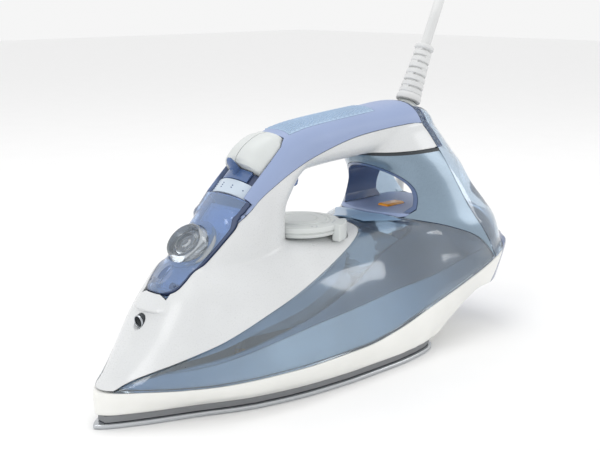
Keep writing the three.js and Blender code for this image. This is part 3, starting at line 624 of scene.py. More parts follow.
class Look:
    """The finishes of the iron."""

    WHITE = Finish("white_gloss", "white_plastic", "D6D8D9", 0.28, coat=0.25, relief=0.03, soft=0.04)
    SATIN_WHITE = Finish("white_satin", "white_plastic", "D0D4D3", 0.38, relief=0.06, soft=0.04)
    CREAM = Finish("cream_gloss", "cream_plastic", "EBEBE7", 0.3, coat=0.2, relief=0.03, soft=0.04)
    LAVENDER = Finish("lavender_satin", "lavender_plastic", "93A3C6", 0.42, relief=0.12, tone=0.03)
    PAD = Finish("pale_grip", "pad_plastic", "A6BDD6", 0.5, relief=0.2)
    TANK = Finish(
        "smoke_blue_clear", "tank_plastic", "DCEAF5", 0.05, coat=0.5, clear=0.93, relief=0.0, edge=0.0
    )
    # painted shade: the tank backing's rear zone darkens from the nose to x = 80, standing in for shaded
    # reflections
    PAINTED_SHADE_REAR = Finish(
        "tank_back_painted_shade", "tank_plastic", "4A6488", 0.3, coat=0.3, relief=0.0,
        painted_light_bands=(
            (-110, "93AAC6"), (-50, "7F99B8"), (0, "587491"), (45, "375576"), (80, "1F3A5C"), (115, "284464"),
            (138, "3E5A7A")
        )
    )
    # painted highlight: a pale band on the lower backing, brightest near x = -50, with painted shade at nose
    # and heel
    PAINTED_HIGHLIGHT_LOW = Finish(
        "tank_back_painted_highlight", "tank_plastic", "9DB2C8", 0.3, coat=0.3, relief=0.0,
        painted_light_bands=(
            (-150, "6C90C0"), (-110, "A4BBD6"), (-50, "E4F0FB"), (10, "D2E2F1"), (60, "9BB5CF"),
            (100, "56728F"), (135, "385370")
        )
    )
    # painted shade: the front backing, darker at the nose and towards the rear
    PAINTED_SHADE_FRONT = Finish(
        "tank_front_painted_shade", "tank_plastic", "7F99B4", 0.3, coat=0.3, relief=0.0,
        painted_light_bands=((-150, "5479AA"), (-100, "7C9ABB"), (-40, "90A9C3"), (10, "7B95B0"), (45, "5F7A95")),
    )
    CHAMBER = Finish("chamber_grey_blue", "tank_plastic", "A5BACE", 0.15, coat=0.6, relief=0.0)
    CORE_DEEP = Finish("tank_far_wall", "tank_plastic", "7A91AA", 0.3, coat=0.4, relief=0.0, tone=0.08)
    DOOR = Finish(
        "light_blue_clear", "door_plastic", "B4D0FA", 0.05, coat=0.5, clear=0.8, relief=0.0, edge=0.0
    )
    METALLIC = Finish(
        "metallic_blue", "metallic_plastic", "7F93A4", 0.28, metallic=0.5, coat=0.6, grain=3800.0, relief=0.05
    )
    SHELL = Finish("shell_blue", "shell_plastic", "BFD3E6", 0.05, coat=0.6, clear=0.86, relief=0.0, edge=0.0)
    DEEP = Finish("deep_blue", "deep_plastic", "50648A", 0.22, coat=0.5)
    SLATE = Finish("slate_dark", "deep_plastic", "3B4A6B", 0.2, coat=0.5)
    LEVER = Finish("slate_blue", "lever_plastic", "5B76A6", 0.18, coat=0.4, clear=0.2)
    BAND = Finish("band_pale", "band_plastic", "C2CFDC", 0.36, coat=0.3)
    GLASSY = Finish("clear_grey", "clear_plastic", "C9D0D6", 0.06, coat=0.4, clear=0.85, relief=0.0, edge=0.0)
    SEAT = Finish("seat_grey", "clear_plastic", "9DA3A8", 0.3, coat=0.4)
    GREY = Finish("mark_grey", "white_plastic", "B9BDC0", 0.45)
    TRAY = Finish("tray_blue_white", "white_plastic", "E6F0FD", 0.35, coat=0.2)
    DECK = Finish("deck_blue", "tank_plastic", "8FAECD", 0.3, coat=0.4)
    AMBER = Finish("amber_clear", "amber_lens", "FFA414", 0.25, coat=0.4, relief=0.0)
    DARK = Finish("dark_grey", "dark_plastic", "2E3338", 0.5, relief=0.15)
    RUBBER = Finish("seal_rubber", "seal_rubber", "35383B", 0.7, relief=0.3)
    SHEATH = Finish("lead_sheath", "cord_rubber", "D8D9D9", 0.48, relief=0.15, grain=2400.0)
    STEEL = Finish("plain_steel", "steel", "B9BDC2", 0.28, metallic=1.0, tone=0.04, stretch=(1, 6, 6))
    SOLE = Finish("polished_sole", "sole_steel", "C3C6CA", 0.2, metallic=1.0, tone=0.04, stretch=(0.05, 1, 1))
    CAST = Finish(
        "cast_aluminium", "casting_aluminium", "8F9296", 0.5, metallic=0.9, relief=0.35, grain=700.0
    )
    BRASS = Finish("yellow_brass", "brass", "B89B55", 0.3, metallic=1.0)
    BOARD = Finish("board_green", "board_green", "2C6A3B", 0.5)


def dress(item: Piece, look: Finish, body: str, *stands_for: str) -> Piece:
    """Gives a new piece its finish and body, and says which parts of the frame it stands for.

    Args:
        item: The piece.
        look: Its finish.
        body: The body that it moves with.
        *stands_for: The frame's parts that it replaces.

    Returns:
        The piece.
    """
    item.data.materials.clear()
    item.data.materials.append(look.material())
    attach(item, body)
    if stands_for:
        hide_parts(*stands_for)
    LOG.info("%s: %d faces on %s", item.name, len(item.data.polygons), body)
    return item


def repaint(node: str, look: Finish) -> None:
    """Gives a part of the frame, which keeps its shape, its finish."""
    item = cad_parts[node]
    item.data.materials.clear()
    item.data.materials.append(look.material())


# ---------------------------------------------------------------- the room


@dataclass
class Studio:
    """Pale floor, soft lights and the camera."""

    eye: Point = (-0.4547, -0.4482, 0.2320)
    target: Point = (-0.0065, 0.0, 0.088)
    lens: float = 62.1
    sensor: float = 36.0
    lit: Point = (0.0, 0.0, 0.08)
    sky: float = 0.92

    def camera(self) -> None:
        """Sets the camera up."""
        bpy.ops.object.camera_add(location=self.eye)
        item = fresh("studio_camera")
        item.data.lens = self.lens
        item.data.sensor_width = self.sensor
        self.face(item, self.eye, self.target)
        bpy.context.scene.camera = item

    def face(self, item: Piece, place: Point, target: Point) -> None:
        """Turns a camera or a lamp at a place towards a target."""
        item.rotation_euler = (Vector(target) - Vector(place)).to_track_quat("-Z", "Y").to_euler()

    def lamp(self, name: str, place: Point, width: float, watts: float) -> None:
        """A square soft light that faces the iron."""
        bpy.ops.object.light_add(type="AREA", location=place)
        item = fresh(name)
        item.data.size = width
        item.data.energy = watts
        self.face(item, place, self.lit)

    def build(self) -> None:
        """Floor, sky and lights."""
        bpy.ops.mesh.primitive_plane_add(size=8.0, location=(0, 0, -0.0002))
        floor = fresh("studio_floor")
        paper = Finish("floor_paper", "floor", "F7F7F7", 0.75, relief=0.02, tone=0.005, edge=0.0)
        floor.data.materials.append(paper.material())
        world = bpy.data.worlds.new("studio_sky")
        world.use_nodes = True
        background = world.node_tree.nodes["Background"]
        background.inputs["Color"].default_value = (1.0, 1.0, 1.0, 1.0)
        background.inputs["Strength"].default_value = self.sky
        bpy.context.scene.world = world
        bpy.context.scene.view_settings.view_transform = "Standard"
        self.lamp("key_softbox", (-1.1, -0.25, 0.9), 0.5, 2.6)
        self.lamp("top_softbox", (0.1, 0.3, 1.3), 0.8, 3.4)
        self.lamp("rear_softbox", (0.9, -0.6, 0.5), 0.35, 1.0)


# ---------------------------------------------------------------- the lead


@dataclass
class Coil:
    """The stored part of the lead: turns side by side in two layers, all wound the same way."""

    x: float = 62.0
    y: float = 125.0
    inner: float = 30.5
    pitch: float = 7.0
    across: int = 4
    floor: float = 3.8
    clear: float = 59.1
    entry: float = math.radians(-75.0)
    exit: float = math.radians(66.0)
    turns: float = 7 + 219 / 360
    step: float = 0.12
    late: float = 0.7
    swing: float = 3.2
    per_turn: int = 36
    blend: int = 4

    def seat(self, turn: float) -> Pair:
        """Radius and height of the cord's middle after a number of turns.

        Args:
            turn: Turns wound so far.

        Returns:
            (radius, height) in millimetres.
        """
        down = [self.inner + self.pitch * (self.across - 1 - k) for k in range(self.across)]
        radii = [*down, *reversed(down)]
        changes = [*range(1, self.across + 1), *(self.across + self.late + k for k in range(self.across - 1))]
        k = sum(turn >= change for change in changes)
        height = self.floor + self.pitch * (k >= self.across)
        if k == len(changes) or turn <= changes[k] - self.step:
            return radii[k], height
        t = (turn - changes[k] + self.step) / self.step
        ease = t * t * (3 - 2 * t)
        if k == self.across - 1:
            return radii[k] - self.swing * math.sin(math.pi * t), height + self.pitch * ease
        return radii[k] + (radii[k + 1] - radii[k]) * ease, height

    def beside(self) -> Point:
        """Where the cord first lies against the outermost turn."""
        run, off = self.clear * math.cos(self.entry), self.clear * math.sin(self.entry)
        return self.x + run, self.y + off, self.floor

    def route(self) -> list[Point]:
        """Middle of the cord along its turns, from where it has met the outermost one."""
        points = []
        count = round(self.turns * self.per_turn)
        start = self.exit + self.turns * math.tau
        for i in range(count + 1):
            turn = self.turns * i / count
            radius, height = self.seat(turn)
            angle = start - turn * math.tau
            points.append((self.x + radius * math.cos(angle), self.y + radius * math.sin(angle), height))
        return points

    def leaving(self, run: float, z: float) -> Point:
        """A point on the straight stretch that leaves the last turn."""
        outer, heading = self.inner + self.pitch * (self.across - 1), self.exit - math.pi / 2
        return (
            self.x + outer * math.cos(self.exit) + run * math.cos(heading),
            self.y + outer * math.sin(self.exit) + run * math.sin(heading),
            z,
        )


@dataclass
class Lead:
    """The mains lead: guard to floor, coil, tie and plug."""

    radius: float = 3.5
    pivot: Point = (101.0, 0.0, 152.0)
    lean: float = math.radians(25.5)
    guard_end: float = 47.0
    plug_reach: float = 45.0
    plug_z: float = 19.3
    length: float = 2.5
    coil: Coil = field(default_factory=Coil)

    def up(self, t: float) -> Point:
        """A point on the guard's axis, t above its pivot."""
        return self.pivot[0] + t * math.sin(self.lean), 0.0, self.pivot[2] + t * math.cos(self.lean)

    def route(self) -> list[Point]:
        """Every point that the middle of the cord passes."""
        free = [
            self.up(self.guard_end + 0.4),
            self.up(60),
            (132.8, 0.9, 216.1),
            (143, 5.5, 225),
            (156.2, 13.4, 230.9),
            (168.7, 22.4, 232.3),
            (178.9, 31.6, 228.5),
            (184.4, 39, 219.6),
            (184.9, 44.2, 206.6),
            (182, 48.2, 189.4),
            (177.6, 52.3, 168.9),
            (173.4, 57.1, 146.9),
            (173, 59, 122),
            (173, 62, 92),
            (175, 65, 62),
            (176, 67, 36),
            (170, 69.5, 15),
            (154, 71.5, 5.2),
            (130, 72, 3.8),
            (104, 70.5, 3.8),
            self.coil.beside(),
        ]
        turns = self.coil.route()
        tail = [
            self.coil.leaving(run, z) for run, z in ((14, 11.8), (29, 15.6), (36, 17.6), (44, self.plug_z))
        ]
        return [*free, *turns[self.coil.blend :], *tail]

    def cord(self) -> tuple[Piece, list[Vector]]:
        """The flex as one smooth curve.

        Returns:
            The curve object and the points that it follows, in metres.
        """
        route = [metres(*point) for point in self.route()]
        line = bpy.data.curves.new("mains_lead", "CURVE")
        line.dimensions = "3D"
        line.bevel_depth = self.radius * MM
        line.bevel_resolution = 6
        line.resolution_u = 6
        line.use_fill_caps = True
        spline_of = line.splines.new("BEZIER")
        spline_of.bezier_points.add(len(route) - 1)
        for i, (knot, point) in enumerate(zip(spline_of.bezier_points, route)):
            before, after = route[max(i - 1, 0)], route[min(i + 1, len(route) - 1)]
            run = (after - before).normalized()
            knot.co = point
            knot.handle_left_type = knot.handle_right_type = "FREE"
            knot.handle_left = point - run * (point - before).length / 3
            knot.handle_right = point + run * (after - point).length / 3
        item = bpy.data.objects.new("mains_lead", line)
        bpy.context.collection.objects.link(item)
        return item, route

    def tie(self) -> Piece:
        """A soft strap round the coil."""
        c = self.coil
        half, high, squareness, width = 15.4, 14.8, 0.35, 9.0
        outline = []
        for turn in around(48):
            run, rise = (math.copysign(abs(v) ** squareness, v) for v in (math.cos(turn), math.sin(turn)))
            outline.append((half * run, high / 2 + 0.4 + (high / 2 + 0.2) * rise))
        middle = c.y + c.inner + c.pitch * (c.across - 1) / 2
        bpy.ops.mesh.primitive_circle_add(vertices=len(outline), radius=1.0)
        item = fresh("lead_tie")
        for vertex, (a, z) in zip(item.data.vertices, outline):
            vertex.co = metres(c.x - width / 2, middle + a, z)
        outward(extruded(item, (width * MM, 0, 0)))
        finish_with(item, "SOLIDIFY", thickness=0.8 * MM, offset=0.0)
        finish_with(item, "BEVEL", width=0.3 * MM, segments=2)
        return smooth_by_angle(item)

    def plug_place(self) -> Matrix:
        """Where the plug lies: its own +Z runs out of the pins."""
        at = metres(*self.coil.leaving(self.plug_reach, self.plug_z))
        heading = self.coil.exit - math.pi / 2
        turn = Matrix.Rotation(heading, 4, "Z") @ Matrix.Rotation(math.pi / 2, 4, "Y")
        return Matrix.Translation(at) @ turn

    def plug(self) -> Piece:
        """Moulded plug: ribbed neck, flared shoulder and round face."""
        profile = [(0, 0.2), (5.4, 0.2), (6.0, 0.8)]
        for i in range(5):
            z, r = 2.0 + i * 3.4, 6.3 + i * 0.5
            profile += [(r - 1.1, z), (r - 1.1, z + 1.1), (r, z + 1.5), (r + 0.1, z + 2.9)]
        profile += [
            (9.0, 20.4), (12.0, 22.4), (16.4, 25.0), (18.2, 27.4), (18.7, 30.0), (18.7, 45.6), (18.2, 47.4),
            (17.0, 48.0), (0, 48.0)
        ]
        return smooth_by_angle(turned("plug_shell", profile, self.plug_place(), 72))

    def pin(self, name: str, offset: float) -> Piece:
        """A round plug pin with a domed end and a sleeve step."""
        profile = [
            (0, 48.3), (2.4, 48.3), (2.4, 57.0), (2.3, 57.4), (2.3, 65.4), (2.0, 66.3), (1.2, 66.9), (0, 67.0)
        ]
        place = self.plug_place() @ Matrix.Translation((0, offset * MM, 0))
        return smooth_by_angle(turned(name, profile, place, 32))

    def build(self) -> None:
        """Builds and dresses the lead."""
        cord, route = self.cord()
        cord.data.materials.append(Look.SHEATH.material())
        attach(cord, "iron_body")
        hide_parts("cord_tube", "cord_coil", "cord_tail")
        tie = dress(self.tie(), Look.SATIN_WHITE, "iron_body", "cord_tie")
        plug = dress(self.plug(), Look.SATIN_WHITE, "iron_body", "plug_body")
        pins = [
            dress(self.pin(f"plug_{name}", offset), Look.BRASS, "iron_body", f"plug_pin_{name}")
            for name, offset in (("left", 9.5), ("right", -9.5))
        ]


# ---------------------------------------------------------------- the outer form


@dataclass
class OuterForm:
    """The whole outer form of the iron, from which every panel is cut."""

    voxel: float = 1.25
    relax: int = 9
    facets: int = 96
    station: float = 1.6
    sole_half: Knots = knots(
        (-158, 0.5), (-155.5, 3.6), (-141, 12.5), (-108, 27.5), (-75, 42.5), (-35, 51.5), (0, 54.5), (35, 55),
        (62, 52.5), (75, 48.5), (80, 45)
    )
    waist_half: Knots = knots(
        (-157, 1.5), (-153, 6.5), (-141, 17.5), (-120, 34), (-100, 44.5), (-75, 51.5), (-39, 56.5), (0, 57),
        (60, 56.5), (110, 55.5), (140, 54), (160, 47), (171, 36)
    )
    waist_z: Knots = knots(
        (-157, 18), (-153, 20.5), (0, 21.5), (30, 25), (67, 33.5), (89, 38.5), (111, 44), (128, 48.5),
        (146, 54.5), (171, 60)
    )
    bottom_z: Knots = knots((-157, 7), (75, 7), (95, 16.5), (114, 25.5), (128, 30), (150, 31.5), (171, 46))
    shoulder_half: Knots = knots(
        (-157, 0.8), (-153, 3), (-133, 11), (-108, 18), (-60, 20), (-20, 22.5), (35, 24), (70, 36), (140, 44),
        (171, 30)
    )
    shoulder_z: Knots = knots(
        (-157, 19), (-153, 21.8), (-142, 29), (-133, 38), (-120, 55), (-108, 68), (-95, 79), (-80, 80.5),
        (40, 80.5), (70, 83), (100, 78), (140, 66), (171, 64)
    )
    crown_z: Knots = knots(
        (-157, 19.5), (-153, 22.5), (-142, 32), (-133, 43), (-122, 60), (-108, 77.5), (-98, 84), (-85, 84.5),
        (60, 85.9), (75, 86.1), (100, 82), (140, 70), (171, 66)
    )
    neck_half: Knots = knots((60, 25), (76, 22), (90, 20.5), (118, 20), (140, 18))
    neck_rear: Knots = knots((60, -6), (78, -17), (86, -20.5), (104, -21), (116, -15), (140, 0))
    bar_top: Knots = knots(
        (-72, 109.8), (-62, 119.4), (-50, 130.8), (-38, 142), (-28, 148.3), (-18, 151), (0, 153.8),
        (30, 156.5), (60, 158.5), (85, 160), (100, 158.5), (112, 152), (118, 146)
    )
    bar_bottom: Knots = knots(
        (-72, 97), (-60, 100), (-35, 107), (-20, 115), (-8, 123.5), (10, 125.5), (40, 127), (80, 128),
        (100, 130), (118, 134)
    )
    bar_half: Knots = knots(
        (-72, 18.5), (-50, 20), (-20, 19.5), (30, 18.5), (60, 19.5), (85, 21), (105, 19), (118, 14)
    )
    post_front: Knots = knots(
        (30, 120), (45, 96), (60, 80), (75, 70), (84, 62), (92, 64), (104, 65), (116, 60), (127, 52),
        (140, 56), (156, 74)
    )
    post_rear: Knots = knots(
        (30, 160), (45, 168.5), (62, 171.5), (76, 170), (90, 163.5), (110, 148), (127, 133), (140, 122),
        (150, 112), (156, 104)
    )
    post_round: float = 2.35
    post_half: Knots = knots(
        (30, 47), (45, 52.5), (60, 54), (75, 51), (88, 45), (100, 40), (112, 35.5), (127, 30), (140, 24.5),
        (156, 15)
    )

    def stations(self, first: float, last: float, step: float) -> list[float]:
        """Even places from first to last."""
        count = math.ceil((last - first) / step)
        return [first + (last - first) * i / count for i in range(count + 1)]

    def body_section(self, x: float) -> list[Point]:
        """Section of the lower body across X."""
        waist, waist_z, low = self.waist_half.at(x), self.waist_z.at(x), self.bottom_z.at(x)
        foot = max(waist - 7 if x > SOLE_REAR - 5 else min(self.sole_half.at(x), waist - 1.5), 0.8)
        shoulder, shoulder_z = self.shoulder_half.at(x), self.shoulder_z.at(x)
        swell = (waist + (shoulder - waist) * 0.45, waist_z + (shoulder_z - waist_z) * 0.6)
        flank = spline(
            [(foot, low), (waist, waist_z), swell, (shoulder, shoulder_z), (0, self.crown_z.at(x))], 44
        )
        right = [(x, y, z) for y, z in flank]
        return [*right, *((x, -y, z) for _, y, z in reversed(right[:-1]))]

    def level_section(
        self, z: float, front_x: float, rear_x: float, half: float, power: float
    ) -> list[Point]:
        """Squarish section in a level plane."""
        middle, reach = (front_x + rear_x) / 2, (rear_x - front_x) / 2
        return [
            (middle + reach * rounded(math.cos(a), power), half * rounded(math.sin(a), power), z)
            for a in around(self.facets)
        ]

    def bar_section(self, x: float) -> list[Point]:
        """Section of the hand grip across X."""
        low, high, half = self.bar_bottom.at(x), self.bar_top.at(x), self.bar_half.at(x)
        return [
            (
                x, half * rounded(math.cos(a), 2.5),
                (low + high) / 2 + (high - low) / 2 * rounded(math.sin(a), 2.35)
            )
            for a in around(self.facets)
        ]

    def body(self) -> Piece:
        """The lower body, from the nose to the heel."""
        return skin("body_form", [self.body_section(x) for x in self.stations(-157, 171, self.station)])

    def neck(self) -> Piece:
        """The neck that carries the front of the grip."""
        rings = []
        for z in self.stations(60, 122, self.station):
            front_x = SLOPE.x + (z - SLOPE.z) / math.tan(SLOPE.angle)
            rings.append(self.level_section(z, front_x, self.neck_rear.at(z), self.neck_half.at(z), 2.5))
        return skin("neck_form", rings)

    def bar(self) -> Piece:
        """The hand grip."""
        return skin("bar_form", [self.bar_section(x) for x in self.stations(-72, 118, self.station)])

    def post(self) -> Piece:
        """The rear post and shell."""
        rings = [
            self.level_section(
                z, self.post_front.at(z), self.post_rear.at(z), self.post_half.at(z), self.post_round
            )
            for z in self.stations(31, 156, self.station)
        ]
        return skin("post_form", rings)

    def whole(self) -> Piece:
        """All four forms run together, with their joins eased.

        Returns:
            The outer form.
        """
        item = self.body()
        for part in (self.neck(), self.bar(), self.post()):
            boolean(item, part, Operation.JOIN)
        item.name = "outer_form"
        finish_with(item, "REMESH", mode="VOXEL", voxel_size=self.voxel * MM)
        return finish_with(item, "SMOOTH", factor=0.5, iterations=self.relax)

    def hollow(self, outer: Piece, depth: float) -> Piece:
        """The same form, sunk inwards by a wall's thickness.

        Args:
            outer: The outer form.
            depth: How far in, in millimetres.

        Returns:
            The inner form.
        """
        item = copy_of(outer, "inner_form")
        finish_with(item, "REMESH", mode="VOXEL", voxel_size=1.7 * MM)
        finish_with(item, "DISPLACE", strength=-depth * MM, mid_level=0.0)
        finish_with(item, "REMESH", mode="VOXEL", voxel_size=1.5 * MM)
        return finish_with(item, "SMOOTH", factor=0.5, iterations=6)


@dataclass
class PartingLines:
    """Side-view lines along which the panels meet."""

    form: OuterForm
    cowl: list[Pair] = field(init=False)
    grip: list[Pair] = field(init=False)
    foot: list[Pair] = field(init=False)
    seam: list[Pair] = field(init=False)
    heel: list[Pair] = field(init=False)
    skirt: list[Pair] = field(init=False)

    def __post_init__(self) -> None:
        """Draws every line."""
        meet = self.form.waist_z.at(FOOT_X) + 1
        self.cowl = spline(
            [
                (-150, 21.5), (-135, 29), (-112, 38.5), (-78, 49), (-36, 60.5), (5, 73), (28, 80.5), (37, 84),
                (42, 90)
            ],
            64
        )
        self.grip = spline(
            [(-68, 103), (-60, 108), (-47, 117.5), (-16, 131), (28, 142), (77, 146.5), (94, 146)], 48
        )
        self.foot = spline([(44, 87.2), (60, 87), (74, 85), (96, 79), (119, 69), (FOOT_X, meet)], 40)
        self.seam = spline(
            [(FOOT_X, meet), (128, 68), (118, 87), (106, 119), (102, 128), (92, 149), (88, 162)], 48
        )
        self.heel = spline([(141, 20), (143, 30), (146, 45), (150, 58), (158, 68), (170, 83)], 40)
        self.skirt = [(x, self.form.waist_z.at(x)) for x in self.form.stations(-153, 157, 5)]


@dataclass
class Shells:
    """Panels of the body, the handle and the heel."""

    form: OuterForm
    lines: PartingLines
    outer: Piece = field(init=False)
    inner: Piece = field(init=False)
    shell: Piece = field(init=False)
    rim: Piece = field(init=False)
    lifted: Piece = field(init=False)
    stud_rows: int = 39
    stud_pitch: float = 2.0
    stud_edge: float = 10.4

    def __post_init__(self) -> None:
        """Makes the forms that the panels are cut from."""
        self.outer = self.form.whole()
        self.inner = self.form.hollow(self.outer, WALL)
        self.shell = boolean(copy_of(self.outer, "shell_form"), self.inner, Operation.CUT, keep=True)

    def panel(self, name: str, region: Piece, cuts: Sequence[Piece] = ()) -> Piece:
        """One panel of the shell.

        Args:
            name: Its name.
            region: The solid that it lies in.
            cuts: What is cut out of it.

        Returns:
            The panel.
        """
        item = boolean(copy_of(self.shell, name), region, Operation.COMMON)
        for cut in cuts:
            boolean(item, cut, Operation.CUT)
        return smooth_by_angle(item, 30)

    def heel_zone(self, grow: float) -> Piece:
        """Everything behind the heel's line."""
        return slab("heel_zone", [*moved(self.lines.heel, -grow, 0), (190, 90), (190, 10)])

    def door_outline(self, grow: float) -> list[Pair]:
        """Outline of the filling door along the slope, round at its lower end."""
        low, high = -2.0 - grow, 69.0 + grow
        edge = [
            (low, 0), (low + 0.1, 3), (low + 0.6, 6), (low + 2.6, 9.4 + grow), (low + 7, 12.6 + grow),
            (low + 14, 14.2 + grow)
        ]
        half = [*spline(edge, 24), (high, 18.6 + grow)]
        return [*reversed(half), *((u, -y) for u, y in half[1:])]

    def door_zone(self, grow: float) -> Piece:
        """The prism that the door is cut from or its seat is cut with."""
        return slab("door_zone", self.door_outline(grow), -15, 30, SLOPE.at)

    def arch(self, grow: float) -> Piece:
        """The tunnel under the back of the handle."""
        half, floor, apex = 31.5 + grow, 86.6 - grow, 121.0 + grow
        crown = [
            (half * math.cos(a), floor + 5 + (apex - floor - 5) * math.sin(a) ** 0.9) for a in half_around(48)
        ]
        return slab("arch_form", [(-half + 5, floor), (half - 5, floor), *crown], 40, 185, front)

    def skirt(self) -> Piece:
        """The cream skirt above the sole."""
        region = slab("skirt_zone", [*self.lines.skirt, (157, 0), (-170, 0), (-170, 17), (-157, 19)])
        return self.panel("skirt_panel", region, [self.heel_zone(GAP)])

    def tank_zone(self, grow: float) -> Piece:
        """The window between cowl, post and skirt, which the tank fills."""
        low = [(x, z + GAP + grow) for x, z in self.lines.skirt if -150 < x < FOOT_X - 2]
        upper = [
            *moved(self.lines.cowl, 0, -GAP - grow)[:-2], (43, 86.4 - grow),
            *moved(self.lines.foot, 0, -GAP - grow)[1:]
        ]
        return slab("tank_zone", [*upper, *reversed(low)])

    def tank(self) -> Piece:
        """The clear wall of the water tank."""
        return self.panel("tank_wall", self.tank_zone(0))

    def cowl(self) -> Piece:
        """The white cowl, neck and underside of the grip, in one moulding."""
        line = self.lines
        seam = [(x, z) for x, z in line.seam if RING_TOP < z < 146]
        outline = [
            *moved(line.cowl, 0, GAP), (43, 90), (43, RING_TOP), *seam, *reversed(moved(line.grip, 0, -GAP))
        ]
        region = slab("cowl_zone", [*outline, (-76, 103), (-160, 60), (-165, 21)])
        dial_seat = rod("dial_seat", (DIAL_X, 0, 84.6), (DIAL_X, 0, 93.6), 26.7, sides=96)
        nozzle = rod("nozzle_seat", (-132, 0, 52.8), (-100, 0, 57), 4.0)
        trigger = block("trigger_slot", (-18.5, -6.2, 105), (-5.5, 6.2, 135))
        return self.panel(
            "cowl_panel", region,
            [self.door_zone(0.8), self.door_sweep(), self.shoe_room(), dial_seat, nozzle, trigger]
        )

    def shoe_room(self) -> Piece:
        """Room for the dial's grip shoe over its whole turn."""
        return slab("shoe_room", part_ring(-116, 44, 40, 30.7, 23.5), 80.5, 93.6, plan)

    def door_sweep(self) -> Piece:
        """Room for the door's lower edge as it swings in under the cowl."""
        return rod("door_sweep", SLOPE.at(3, -11, -6.6), SLOPE.at(3, 11, -6.6), 8.0, sides=96)

    def post_panel(self) -> Piece:
        """The metallic post at the back of the hand opening."""
        line = self.lines
        edge = [(x, z) for x, z in line.seam if z < RING_Z]
        outline = [(40, 87.4), *line.foot, *edge, (101.5, RING_LOW), (40, RING_LOW)]
        return self.panel("post_panel", slab("post_zone", outline), [self.arch(0.6)])

    def ring(self) -> Piece:
        """The dark ring where the grip meets the post."""
        outline = [(44, RING_LOW), (102.2, RING_LOW), (102.2, RING_TOP), (44, RING_TOP)]
        return self.panel("dark_ring", slab("ring_zone", outline))

    def rear(self) -> Piece:
        """The glossy rear shell."""
        line = self.lines
        region = slab(
            "rear_zone",
            [
                *moved(line.seam, GAP + 0.4, 0), (104, 163), (180, 120),
                *reversed(moved(line.heel, -GAP, GAP)), (140.3, 40)
            ]
        )
        guard = block("guard_room", (92, -14, 142.5), (119, 14, 175))
        low = slab("low_zone", [*moved(line.skirt, 0, GAP), (157, 0), (-170, 0)])
        rim = slab("rim_zone", [*moved(line.seam, 7.5, 0), (240, 162), (240, 40)])
        above = block("above_ring", (40, -FAR, RING_Z + 2), (200, FAR, 190))
        self.rim = boolean(
            boolean(copy_of(self.shell, "rear_rim"), region, Operation.COMMON, keep=True), rim, Operation.CUT
        )
        for item, how in ((above, Operation.COMMON), (copy_of(guard, "guard_room_rim"), Operation.CUT)):
            boolean(self.rim, item, how)
        return self.panel("rear_panel", region, [self.arch(7.0), guard, low])

    def backing(self) -> None:
        """Moulded inner walls behind the clear tank, painted with highlight and shade for its reflections."""
        deep = self.form.hollow(self.inner, 1.9)
        skin_of = boolean(self.form.hollow(self.inner, 0.6), deep, Operation.CUT, keep=True)
        # edges between the backing's painted highlight and painted shade zones
        swoosh = spline(
            [(80, 86), (62, 77), (45, 70), (25, 62), (0, 53.5), (-30, 46), (-70, 39), (-110, 33)], 40
        )
        low_line = spline([(-125, 29), (-80, 35), (-40, 40), (10, 43.5), (60, 49), (100, 55), (136, 63)], 40)
        front_line = spline([(12, 72), (2, 64), (-14, 57), (-40, 50), (-75, 44), (-115, 35)], 40)
        painted_light_zones = (
            ("tank_back_low_painted_highlight", [*low_line, (136, 20), (-150, 20)], Look.PAINTED_HIGHLIGHT_LOW),
            (
                "tank_back_rear_painted_shade",
                [*reversed(moved(swoosh, 0, -0.3)), (140, 90), *reversed(moved(low_line, 0, 0.3))],
                Look.PAINTED_SHADE_REAR,
            ),
            ("tank_back_front_painted_shade", [*front_line, (-150, 60), (-150, 100), (12, 100)], Look.PAINTED_SHADE_FRONT),
        )
        # each sheet carries painted highlight and shade that shows through the clear wall
        for name, outline, look in painted_light_zones:
            item = boolean(copy_of(skin_of, name), slab("zone", outline), Operation.COMMON)
            boolean(item, self.tank_zone(0.2), Operation.COMMON)
            dress(smooth_by_angle(item, 30), look, "iron_body")
        far = boolean(self.form.hollow(self.inner, 8.0), self.form.hollow(self.inner, 9.4), Operation.CUT)
        far.name = "tank_far_wall"
        boolean(far, self.tank_zone(1.0), Operation.COMMON)
        boolean(far, block("window_room", (-90, -FAR, 40), (62, FAR, 88)), Operation.COMMON)
        dress(smooth_by_angle(far, 30), Look.CORE_DEEP, "iron_body")
        discard(skin_of)
        self.chamber(deep)
        discard(deep)

    def chamber(self, room: Piece) -> None:
        """The ringed pump housings that show through the tank's window.

        Args:
            room: The space that they stand in.
        """
        for name, y in (("chamber_near", -18.0), ("chamber_far", 18.0)):
            profile = [(0, 52), (17, 52)]
            for k in range(5):
                z = 53 + k * 5.0
                profile += [(17.6, z), (17.6, z + 1.4), (15.4, z + 1.9), (15.4, z + 4.6)]
            profile += [(14.0, 78.6), (9.0, 80.4), (0, 80.4)]
            place = Matrix.Translation(metres(27, y, 0))
            item = boolean(turned(name, profile, place, 72), room, Operation.COMMON, keep=True)
            boolean(item, self.tank_zone(1.5), Operation.COMMON)
            dress(smooth_by_angle(item), Look.CHAMBER, "iron_body")

    def heel(self) -> Piece:
        """The deep blue heel."""
        return self.panel("heel_panel", self.heel_zone(0), [self.arch(1.0)])

    def liner(self) -> Piece:
        """The thin tube that lines the tunnel."""
        item = self.arch(0.2)
        item.name = "tunnel_tube"
        boolean(item, block("liner_end", (107, -FAR, 60), (200, FAR, 140)), Operation.CUT)
        boolean(item, self.arch(-1.7), Operation.CUT)
        boolean(item, self.outer, Operation.COMMON, keep=True)
        boolean(item, block("above_floor", (0, -FAR, 89.2), (200, FAR, 140)), Operation.COMMON)
        return smooth_by_angle(item, 40)

